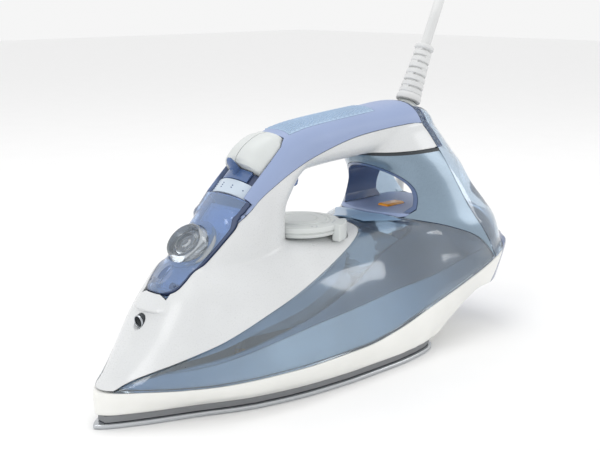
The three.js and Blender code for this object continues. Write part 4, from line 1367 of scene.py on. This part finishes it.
    def cover(self) -> Piece:
        """The lavender cover over the grip."""
        line = self.lines
        region = slab(
            "cover_zone", [*line.grip, (97, 150), (92, 158), (89, 165), (-40, 170), (-76, 122), (-76, 103)]
        )
        behind = slab("behind_zone", [*moved(line.seam, GAP, 0), (200, 162), (200, 40)])
        controls = slab(
            "controls_zone",
            [
                (49, -16), (98, -16), (110, -14.9), (117.2, -11.8), (117.2, 11.8), (110, 14.9), (98, 16),
                (49, 16)
            ],
            -10, 30, SLOPE.at
        )
        return self.panel(
            "grip_cover_panel", region, [behind, controls, self.door_zone(0.8), self.pad_zone(0.3)]
        )

    def pad_zone(self, grow: float) -> Piece:
        """The upper skin of the grip, where the soft pad sits."""
        return block("pad_zone", (-20.5 - grow, -11.5 - grow, 140), (56 + grow, 11.5 + grow, 190))

    def pad(self) -> Piece:
        """The pale pad along the top of the grip, set with diamond studs."""
        item = self.panel("grip_pad_panel", self.pad_zone(0))
        stud = rod("stud_first", (0, 0, -0.4), (0, 0, 0.75), 1.25, 0.3, sides=4)
        stud.data.transform(Matrix.Diagonal((1.5, 1.0, 1.0, 1.0)) @ Matrix.Translation((-SHIFT_X * MM, 0, 0)))
        studs = []
        for row in range(self.stud_rows):
            for k in range(-5, 6):
                x = (-19 + row * self.stud_pitch + SHIFT_X) * MM
                y = (k + (row % 2) / 2) * self.stud_pitch * MM
                found, spot, normal, _ = item.ray_cast((x, y, 0.3), (0, 0, -1))
                if found and abs(y) < self.stud_edge * MM:
                    copy = copy_of(stud, "stud")
                    copy.data.transform(Matrix.Translation(spot) @ stood_on(normal))
                    studs.append(copy)
        discard(stud)
        select_only(item, *studs)
        bpy.ops.object.join()
        return item

    def build(self) -> None:
        """Builds and dresses every panel."""
        dress(self.skirt(), Look.CREAM, "iron_body", "skirt")
        dress(self.tank(), Look.TANK, "iron_body", "water_tank")
        dress(self.cowl(), Look.WHITE, "iron_body", "handle_shell")
        dress(self.post_panel(), Look.METALLIC, "iron_body", "rear_post")
        dress(self.ring(), Look.DARK, "iron_body", "seam_ring")
        dress(self.rear(), Look.SHELL, "iron_body", "rear_shell")
        dress(smooth_by_angle(self.rim), Look.DEEP, "iron_body")
        self.backing()
        dress(self.heel(), Look.DEEP, "iron_body", "heel_cap")
        dress(self.liner(), Look.DEEP, "iron_body", "tunnel_liner")
        dress(self.cover(), Look.LAVENDER, "iron_body", "grip_cover")
        dress(self.pad(), Look.PAD, "iron_body", "grip_pad")
        self.lifted = copy_of(self.outer, "lifted_form")
        self.lifted.data.transform(Matrix.Translation((0, 0, 1.3 * MM)))
        discard(self.inner, self.shell, self.outer)


# ---------------------------------------------------------------- controls on the slope


def across(y: float, w: float, u: float) -> Point:
    """Outline across the slope line, carried up it."""
    return SLOPE.at(u, y, w)


def beside(u: float, w: float, y: float) -> Point:
    """Outline in the slope line's own plane, carried across it."""
    return SLOPE.at(u, y, w)


def slope_axis(u: float, y: float) -> Matrix:
    """A frame on the slope line whose +Z stands off it, in metres."""
    return Matrix.Translation(metres(*SLOPE.at(u, y, 0))) @ Matrix.Rotation(-SLOPE.angle, 4, "Y")


@dataclass
class Door:
    """The clear filling door with its plug."""

    shells: Shells
    plug_at: float = 32.0
    drop: float = 2.6
    rim: float = 0.5
    hole: float = 13.25

    def pane(self) -> Piece:
        """The crowned pane, with a finger dimple and the plug's hole."""
        hole = rod(
            "plug_hole", SLOPE.at(self.plug_at, 0, -20), SLOPE.at(self.plug_at, 0, 20), self.hole, sides=96
        )
        return self.shells.panel("door_pane", self.shells.door_zone(-self.rim - 0.05), [hole, self.dimple()])

    def frame(self) -> Piece:
        """The darker moulded rim round the pane, with its two hinge lugs."""
        item = self.shells.panel("door_frame", self.shells.door_zone(0), [self.shells.door_zone(-self.rim)])
        for sign in (-1, 1):
            lug = rod("lug", SLOPE.at(5.5, sign * 7.0, -3.4), SLOPE.at(5.5, sign * 11.0, -4.0), 2.0, sides=32)
            boolean(item, lug, Operation.JOIN)
        return smooth_by_angle(item, 35)

    def dimple(self) -> Piece:
        """The ball that presses the finger dimple into the pane."""
        bpy.ops.mesh.primitive_uv_sphere_add(segments=96, ring_count=48, radius=13 * MM)
        item = fresh("dimple_tool")
        item.data.transform(slope_axis(9.5, 0) @ Matrix.Translation((0, 0, 12.0 * MM)))
        return item

    def plug(self) -> Piece:
        """The round clear plug with its stepped rings."""
        profile = [
            (0, -2.4), (12.6, -2.4), (13.0, -2.0), (13.0, -1.0), (12.6, 1.5), (12.0, 4.4), (11.5, 5.8),
            (10.9, 6.2), (10.2, 6.1), (9.6, 5.4), (9.3, 3.6), (8.7, 3.0), (7.8, 3.1), (7.3, 4.0), (6.6, 4.5),
            (5.9, 4.2), (5.4, 3.0), (4.2, 2.7), (3.0, 2.9), (2.5, 3.6), (1.6, 4.0), (0, 4.1)
        ]
        place = slope_axis(self.plug_at, 0) @ Matrix.Translation((0, 0, -self.drop * MM))
        return smooth_by_angle(turned("door_plug_ring", profile, place), 40)

    def seat(self) -> Piece:
        """The grey cup under the plug."""
        profile = [
            (11.0, -5.2), (15.6, -5.2), (16.2, -4.6), (16.2, -3.4), (15.4, -3.2), (14.0, -3.8), (11.0, -4.0)
        ]
        return smooth_by_angle(turned("door_plug_seat", profile, slope_axis(self.plug_at + 1.5, 0)), 40)

    def build(self) -> None:
        """Builds and dresses the door."""
        dress(self.pane(), Look.DOOR, "door", "fill_door")
        dress(self.frame(), Look.SLATE, "door")
        dress(self.plug(), Look.GLASSY, "door", "door_plug")
        dress(self.seat(), Look.SEAT, "door")


@dataclass
class SlopeControls:
    """Scale band, steam lever and the two keys above the door."""

    radius: float = 24.0
    mark_rise: float = 0.45
    hood_from: float = 88.2
    hood_run: float = 28.3
    hood_steps: int = 36
    hood_low: float = -6.5
    hood_half: Knots = knots((88.2, 15.1), (100, 15.1), (110, 14.0), (116.5, 11.0))
    hood_top: Knots = knots((88.2, 5.2), (91, 6.6), (96, 7.0), (104, 5.6), (112, 2.4), (116.5, -0.8))

    def arc(
        self, name: str, u0: float, u1: float, inside: float, outside: float, half: float, edge: float
    ) -> Piece:
        """Part of a tube round the controls' own axis.

        Args:
            name: Its name.
            u0: Its lower end up the slope.
            u1: Its upper end.
            inside: Inner radius.
            outside: Outer radius.
            half: Half of its angle.
            edge: Edge rounding, in millimetres.

        Returns:
            The arc.
        """
        turns = [half * (2 * i / 40 - 1) for i in range(41)]
        outline = [(outside * math.sin(a), outside * math.cos(a) - self.radius) for a in turns]
        outline += [(inside * math.sin(a), inside * math.cos(a) - self.radius) for a in reversed(turns)]
        item = slab(name, outline, u0, u1, across)
        soften(item, edge)
        return smooth_by_angle(item, 40)

    def marks(self) -> Piece:
        """Small raised drops on the band, one more at each setting."""

        def drop(u: float, turn: float) -> Piece:
            """One drop, standing off the band."""
            radii = (self.radius, self.radius + self.mark_rise)
            ends = (SLOPE.at(u, r * math.sin(turn), r * math.cos(turn) - self.radius) for r in radii)
            return rod("band_marks", *ends, 0.5, 0.35, sides=16)

        settings = enumerate((-0.5, -0.17, 0.17, 0.5))
        drops = (drop(74.6 + (n - k / 2) * 1.5, turn) for k, turn in settings for n in range(k + 1))
        return smooth_by_angle(union_of(drops))

    def lever(self) -> Piece:
        """The sliding lever with its upright fin."""
        item = self.arc("lever_slide", 80.2, 87.4, 22.3, 24.1, 0.45, 0.3)
        outline = [
            (82.6, -1.2), (82.9, 2.5), (83.7, 6.5), (84.8, 9.4), (86.2, 10.2), (87.4, 9.2), (87.5, -1.2)
        ]
        fin = slab("fin", spline(outline, 24), -1.5, 1.5, beside)
        soften(fin, 0.5)
        return smooth_by_angle(boolean(item, fin, Operation.JOIN), 35)

    def hood(self) -> Piece:
        """The rounded form that both keys are cut from."""
        rings = []
        for i in range(self.hood_steps + 1):
            u = self.hood_from + self.hood_run * i / self.hood_steps
            half, top = self.hood_half.at(u), self.hood_top.at(u)
            shrink = min(1.0, 0.9 + 0.1 * math.sqrt(max(0.0, 1 - (1 - min(i, 4) / 4) ** 2)))
            ring = [
                SLOPE.at(
                    u, half * shrink * rounded(math.cos(a), 2.7),
                    self.hood_low + (top * shrink - self.hood_low) * rounded(math.sin(a), 2.4)
                )
                for a in half_around(48)
            ]
            rings.append([*ring, SLOPE.at(u, 0, self.hood_low)])
        return skin("hood_form", rings)

    def key(self, name: str, hood: Piece, side_of: int) -> Piece:
        """One half of the hood, as a key on its own stem."""
        low, high = sorted((side_of * 0.28, side_of * 20.0))
        half = slab("key_half", [(low, -30), (high, -30), (high, 30), (low, 30)], 80, 125, across)
        item = boolean(copy_of(hood, name), half, Operation.COMMON)
        soften(item, 0.45, 3, 45)
        stem = rod("stem", SLOPE.at(100, side_of * 8, -13), SLOPE.at(100, side_of * 8, -6), 2.6)
        return smooth_by_angle(boolean(item, stem, Operation.JOIN), 40)

    def build(self) -> None:
        """Builds and dresses the controls."""
        dress(self.arc("scale_arc", 69.7, 79.6, 21.8, 24.2, 0.7, 0.35), Look.BAND, "iron_body", "scale_band")
        dress(self.marks(), Look.DEEP, "iron_body")
        dress(
            self.arc("track_arc", 80.0, 87.6, 19.6, 22.1, 0.72, 0.2), Look.SLATE, "iron_body", "lever_track"
        )
        dress(self.lever(), Look.LEVER, "lever", "steam_lever")
        hood = self.hood()
        dress(self.key("spray_key_cap", hood, -1), Look.SATIN_WHITE, "spray_key", "spray_button")
        dress(self.key("boost_key_cap", hood, 1), Look.SATIN_WHITE, "boost_key", "boost_button")
        discard(hood)


# ---------------------------------------------------------------- dial, trigger, nozzle and deck


@dataclass
class ShelfParts:
    """The temperature dial, steam trigger, spray nozzle, deck and tunnel floor."""

    shells: Shells
    deck_rows: int = 6
    deck_pitch: Pair = (2.4, 2.2)

    def dial(self) -> Piece:
        """The round dial with its rings and the grip shoe that hangs from its edge."""
        profile = [
            (0, 85.4), (25.0, 85.4), (25.5, 86.0), (25.8, 87.4), (25.2, 87.8), (25.2, 88.2), (26.0, 88.6),
            (26.0, 90.8), (25.6, 91.5), (24.8, 91.8), (20.6, 91.9), (20.2, 91.5), (19.6, 91.5), (19.2, 91.9),
            (17.4, 92.0), (17.0, 92.6), (16.4, 92.9), (12.0, 92.9), (11.6, 92.5), (11.2, 92.9), (0, 92.9)
        ]
        item = turned("dial_disc", profile, Matrix.Translation(metres(DIAL_X, 0, 0)), 128)
        shoe = slab("dial_shoe", part_ring(-78, -36, 20, 30, 24.2), 81.2, 91.6, plan)
        soften(shoe, 1.3, 4)
        return smooth_by_angle(boolean(item, shoe, Operation.JOIN), 35)

    def pips(self) -> Piece:
        """Raised dots round the dial, one, two and three."""

        def pip(turn: float) -> Piece:
            """One dot, at an angle in degrees."""
            a = math.radians(turn)
            x, y = DIAL_X + 22.6 * math.cos(a), 22.6 * math.sin(a)
            return rod("dial_pips", (x, y, 91.6), (x, y, 92.15), 0.8, 0.55, sides=20)

        settings = enumerate((200, 250, 300))
        return smooth_by_angle(
            union_of(pip(turn + (n - k / 2) * 8) for k, turn in settings for n in range(k + 1))
        )

    def trigger(self) -> Piece:
        """The clear blue trigger under the grip."""
        side_line = [
            (-17.4, 128), (-17.4, 118), (-16.4, 115.4), (-14.6, 114.7), (-9.0, 114.7), (-7.2, 115.6),
            (-6.5, 118), (-6.5, 128)
        ]
        item = slab("trigger_block", side_line, -5.5, 5.5)
        soften(item, 0.9, 4, 60)
        boolean(item, block("flange", (-19.2, -5.5, 127.8), (-4.8, 5.5, 129.9)), Operation.JOIN)
        return smooth_by_angle(item, 40)

    def mouth(self) -> Matrix:
        """The nozzle's mouth, with +Z along its bore."""
        front_end, rear_end = metres(-126, 0, 53.6), metres(-100, 0, 57)
        return Matrix.Translation(front_end) @ stood_on(rear_end - front_end)

    def nozzle(self) -> Piece:
        """The spray nozzle: a bright lip round a dark funnel."""
        profile = [
            (3.7, 1.2), (3.8, 1.7), (3.7, 16.0), (1.9, 16.2), (1.9, 24.6), (0.8, 24.6), (0.8, 6.0),
            (1.6, 4.4), (2.6, 2.2), (3.1, 1.2), (3.4, 0.9)
        ]
        return smooth_by_angle(turned("nozzle_tube", profile, self.mouth(), 64), 40)

    def lip(self) -> Piece:
        """The bright ring at the mouth of the nozzle."""
        profile = [(3.0, -0.2), (3.3, -0.5), (3.6, -0.3), (3.7, 0.6), (3.2, 0.7)]
        return smooth_by_angle(turned("nozzle_lip", profile, self.mouth(), 64), 40)

    def deck(self) -> Piece:
        """The studded strip in front of the tunnel."""
        outline = spline(
            [(44.5, -19), (46, 0), (44.5, 19), (64, 31), (61, 0), (64, -31), (44.5, -19)], 60
        )[:-1]
        item = slab("deck_strip", outline, 85.6, 87.6, plan)
        studs = []
        for row in range(self.deck_rows):
            for k in range(-13, 14):
                x, y = 47.5 + row * self.deck_pitch[0], (k + (row % 2) / 2) * self.deck_pitch[1]
                if 46.2 + 0.018 * y * y * 0.4 < x < 60.2 - abs(y) * 0.12 and abs(y) < 17 + (x - 45) * 0.5:
                    studs.append(rod("stud", (x, y, 87.4), (x, y, 88.4), 1.15, 0.25, sides=4))
        select_only(item, *studs)
        bpy.ops.object.join()
        boolean(item, self.shells.lifted, Operation.COMMON, keep=True)
        return smooth_by_angle(item, 20)

    def floor(self) -> Piece:
        """The lavender floor of the tunnel, with its lens slot."""
        outline = spline(
            [
                (66, -26), (62, 0), (66, 26), (78, 30.2), (112, 30.2), (126, 26), (131, 0), (126, -26),
                (112, -30.2), (78, -30.2), (66, -26)
            ],
            90
        )[:-1]
        item = slab("tunnel_shelf", outline, 86.7, 88.8, plan)
        soften(item, 0.8, 4)
        boolean(item, self.shells.lifted, Operation.COMMON, keep=True)
        return smooth_by_angle(
            boolean(item, block("lens_slot", (79, -5.0, 80), (98, 5.0, 95)), Operation.CUT), 40
        )

    def lens(self) -> Piece:
        """The amber lens in the floor."""
        item = block("amber_bar", (79.3, -4.7, 86.9), (97.7, 4.7, 90.2))
        finish_with(item, "BEVEL", width=1.5 * MM, segments=5)
        return smooth_by_angle(item, 40)

    def build(self) -> None:
        """Builds and dresses them."""
        dress(self.dial(), Look.SATIN_WHITE, "dial", "temperature_dial")
        dress(self.pips(), Look.GREY, "dial")
        dress(self.trigger(), Look.LEVER, "trigger", "steam_trigger")
        dress(self.nozzle(), Look.DARK, "iron_body", "spray_nozzle")
        dress(self.lip(), Look.STEEL, "iron_body")
        dress(self.deck(), Look.DECK, "iron_body", "tank_deck")
        dress(self.floor(), Look.LAVENDER, "iron_body", "tunnel_floor")
        dress(self.lens(), Look.AMBER, "iron_body", "indicator_lens")


# ---------------------------------------------------------------- cord entry and sole


@dataclass
class CordEntry:
    """The swivelling ball and the ribbed guard that the lead leaves through."""

    lead: Lead
    ribs: int = 7
    first_rib: float = 11.6
    rib_pitch: float = 4.6
    rib_radius: float = 8.0
    rib_taper: float = 0.32

    def place(self) -> Matrix:
        """The pivot, with +Z along the guard."""
        return Matrix.Translation(metres(*self.lead.pivot)) @ Matrix.Rotation(self.lead.lean, 4, "Y")

    def ball(self) -> Piece:
        """The ball with its collar."""
        arc = [(8.2 * math.cos(a), 8.2 * math.sin(a)) for a in (math.radians(-76 + i * 8) for i in range(17))]
        profile = [(0, -8.0), *arc, (5.4, 6.4), (0, 6.4)]
        return smooth_by_angle(turned("swivel_knuckle", profile, self.place(), 96), 40)

    def guard(self) -> Piece:
        """The tapered guard, its ribs cut alternately on each side."""
        profile = [(3.75, 6.6), (8.0, 6.6), (8.5, 7.2), (8.6, 9.4), (8.2, 10.6)]
        for i in range(self.ribs):
            z, r = self.first_rib + i * self.rib_pitch, self.rib_radius - i * self.rib_taper
            profile += [
                (r - 0.35, z), (r, z + 0.4), (r, z + 2.8), (r - 0.35, z + 3.2), (r - 1.9, z + 3.35),
                (r - 1.9, z + 4.4)
            ]
        profile += [(6.1, 44.0), (6.7, 44.6), (6.8, 46.2), (6.3, 46.9), (3.75, 46.9)]
        item = turned("ribbed_guard", profile, self.place(), 96)
        for i in range(self.ribs):
            z = self.first_rib + i * self.rib_pitch
            for turn in (0, math.pi):
                bpy.ops.mesh.primitive_cube_add(size=1.0)
                bridge = fresh("bridge")
                bridge.data.transform(
                    self.place()
                    @ Matrix.Rotation(turn + (i % 2) * math.pi / 2, 4, "Z")
                    @ Matrix.Translation(((6.1 - i * 0.3) * MM, 0, (z + 3.9) * MM))
                    @ Matrix.Diagonal((2.2 * MM, 5.0 * MM, 1.6 * MM, 1.0))
                )
                boolean(item, bridge, Operation.JOIN)
        return smooth_by_angle(item, 35)

    def build(self) -> None:
        """Builds and dresses the entry."""
        dress(self.ball(), Look.SATIN_WHITE, "cord_entry", "swivel_ball")
        dress(self.guard(), Look.SHEATH, "cord_entry", "cord_guard")


@dataclass
class Sole:
    """The polished soleplate."""

    form: OuterForm
    thick: float = 2.6
    holes: int = 9
    hole_from: float = -132
    hole_pitch: float = 19
    hole_stagger: float = 9
    hole_inset: float = 12
    hole_gap: float = 8
    hole_least: float = 2.6
    hole_radius: float = 1.6

    def outline(self, inset: float) -> list[Pair]:
        """Plan outline of the sole.

        Args:
            inset: How far inside the edge.

        Returns:
            The outline, in X and Y.
        """
        nose = SOLE_NOSE + inset * 2.2
        half = [(x, max(self.form.sole_half.at(x) - inset, 0.4)) for x in self.form.stations(nose, 74, 2.0)]
        corner = self.form.sole_half.at(SOLE_REAR) - inset
        half += [
            (78 - inset, corner + 1.2), (SOLE_REAR - inset, corner - 2), (SOLE_REAR + 0.2 - inset, corner - 8)
        ]
        return [*((x, -y) for x, y in half), *reversed(half)]

    def plate(self) -> Piece:
        """The plate, with its rolled edge and steam holes."""
        item = slab("sole_sheet", self.outline(0), 0.0, self.thick, plan)
        soften(item, 0.75, 4, 60)
        for row in (0, 1):
            for i in range(self.holes):
                x = self.hole_from + i * self.hole_pitch + row * self.hole_stagger
                y = max(self.form.sole_half.at(x) - self.hole_inset - row * self.hole_gap, self.hole_least)
                for sign in (-1, 1):
                    hole = rod(
                        "steam_hole", (x, sign * y, -1), (x, sign * y, 3.6), self.hole_radius, sides=24
                    )
                    boolean(item, hole, Operation.CUT)
        return smooth_by_angle(item, 30)

    def build(self) -> None:
        """Builds and dresses the sole."""
        dress(self.plate(), Look.SOLE, "iron_body", "soleplate")


KEPT_NODES: dict[str, Finish] = {
    "heater_casting": Look.CAST,
    "heating_element": Look.STEEL,
    "door_pin": Look.STEEL,
    "fill_tray": Look.TRAY,
    "button_bezel": Look.DARK,
    "dial_spindle": Look.STEEL,
    "sole_gasket": Look.RUBBER,
    "chamber_lid": Look.CAST,
    "valve_seat": Look.BRASS,
    "valve_rod": Look.STEEL,
    "thermostat": Look.BRASS,
    "thermal_fuse": Look.CREAM,
    "pillar_front": Look.STEEL,
    "pillar_left": Look.STEEL,
    "pillar_right": Look.STEEL,
    "spray_hose": Look.GLASSY,
    "spray_pump": Look.SATIN_WHITE,
    "boost_pump": Look.SATIN_WHITE,
    "spray_plunger": Look.DARK,
    "boost_plunger": Look.DARK,
    "spray_spring": Look.STEEL,
    "boost_spring": Look.STEEL,
    "trigger_spring": Look.STEEL,
    "trigger_switch": Look.DARK,
    "terminal_block": Look.DARK,
    "cord_clamp": Look.DARK,
    "control_board": Look.BOARD,
}


def main() -> None:
    """Sets the camera up, then builds the lead, the room and the iron."""
    logging.basicConfig(level=logging.INFO, format="%(message)s")
    studio = Studio()
    studio.camera()
    lead = Lead()
    lead.build()
    studio.build()
    form = OuterForm()
    shells = Shells(form, PartingLines(form))
    Door(shells).build()
    shells.build()
    SlopeControls().build()
    ShelfParts(shells).build()
    discard(shells.lifted)
    CordEntry(lead).build()
    Sole(form).build()
    for node, look in KEPT_NODES.items():
        repaint(node, look)


if __name__ == "__main__":
    main()
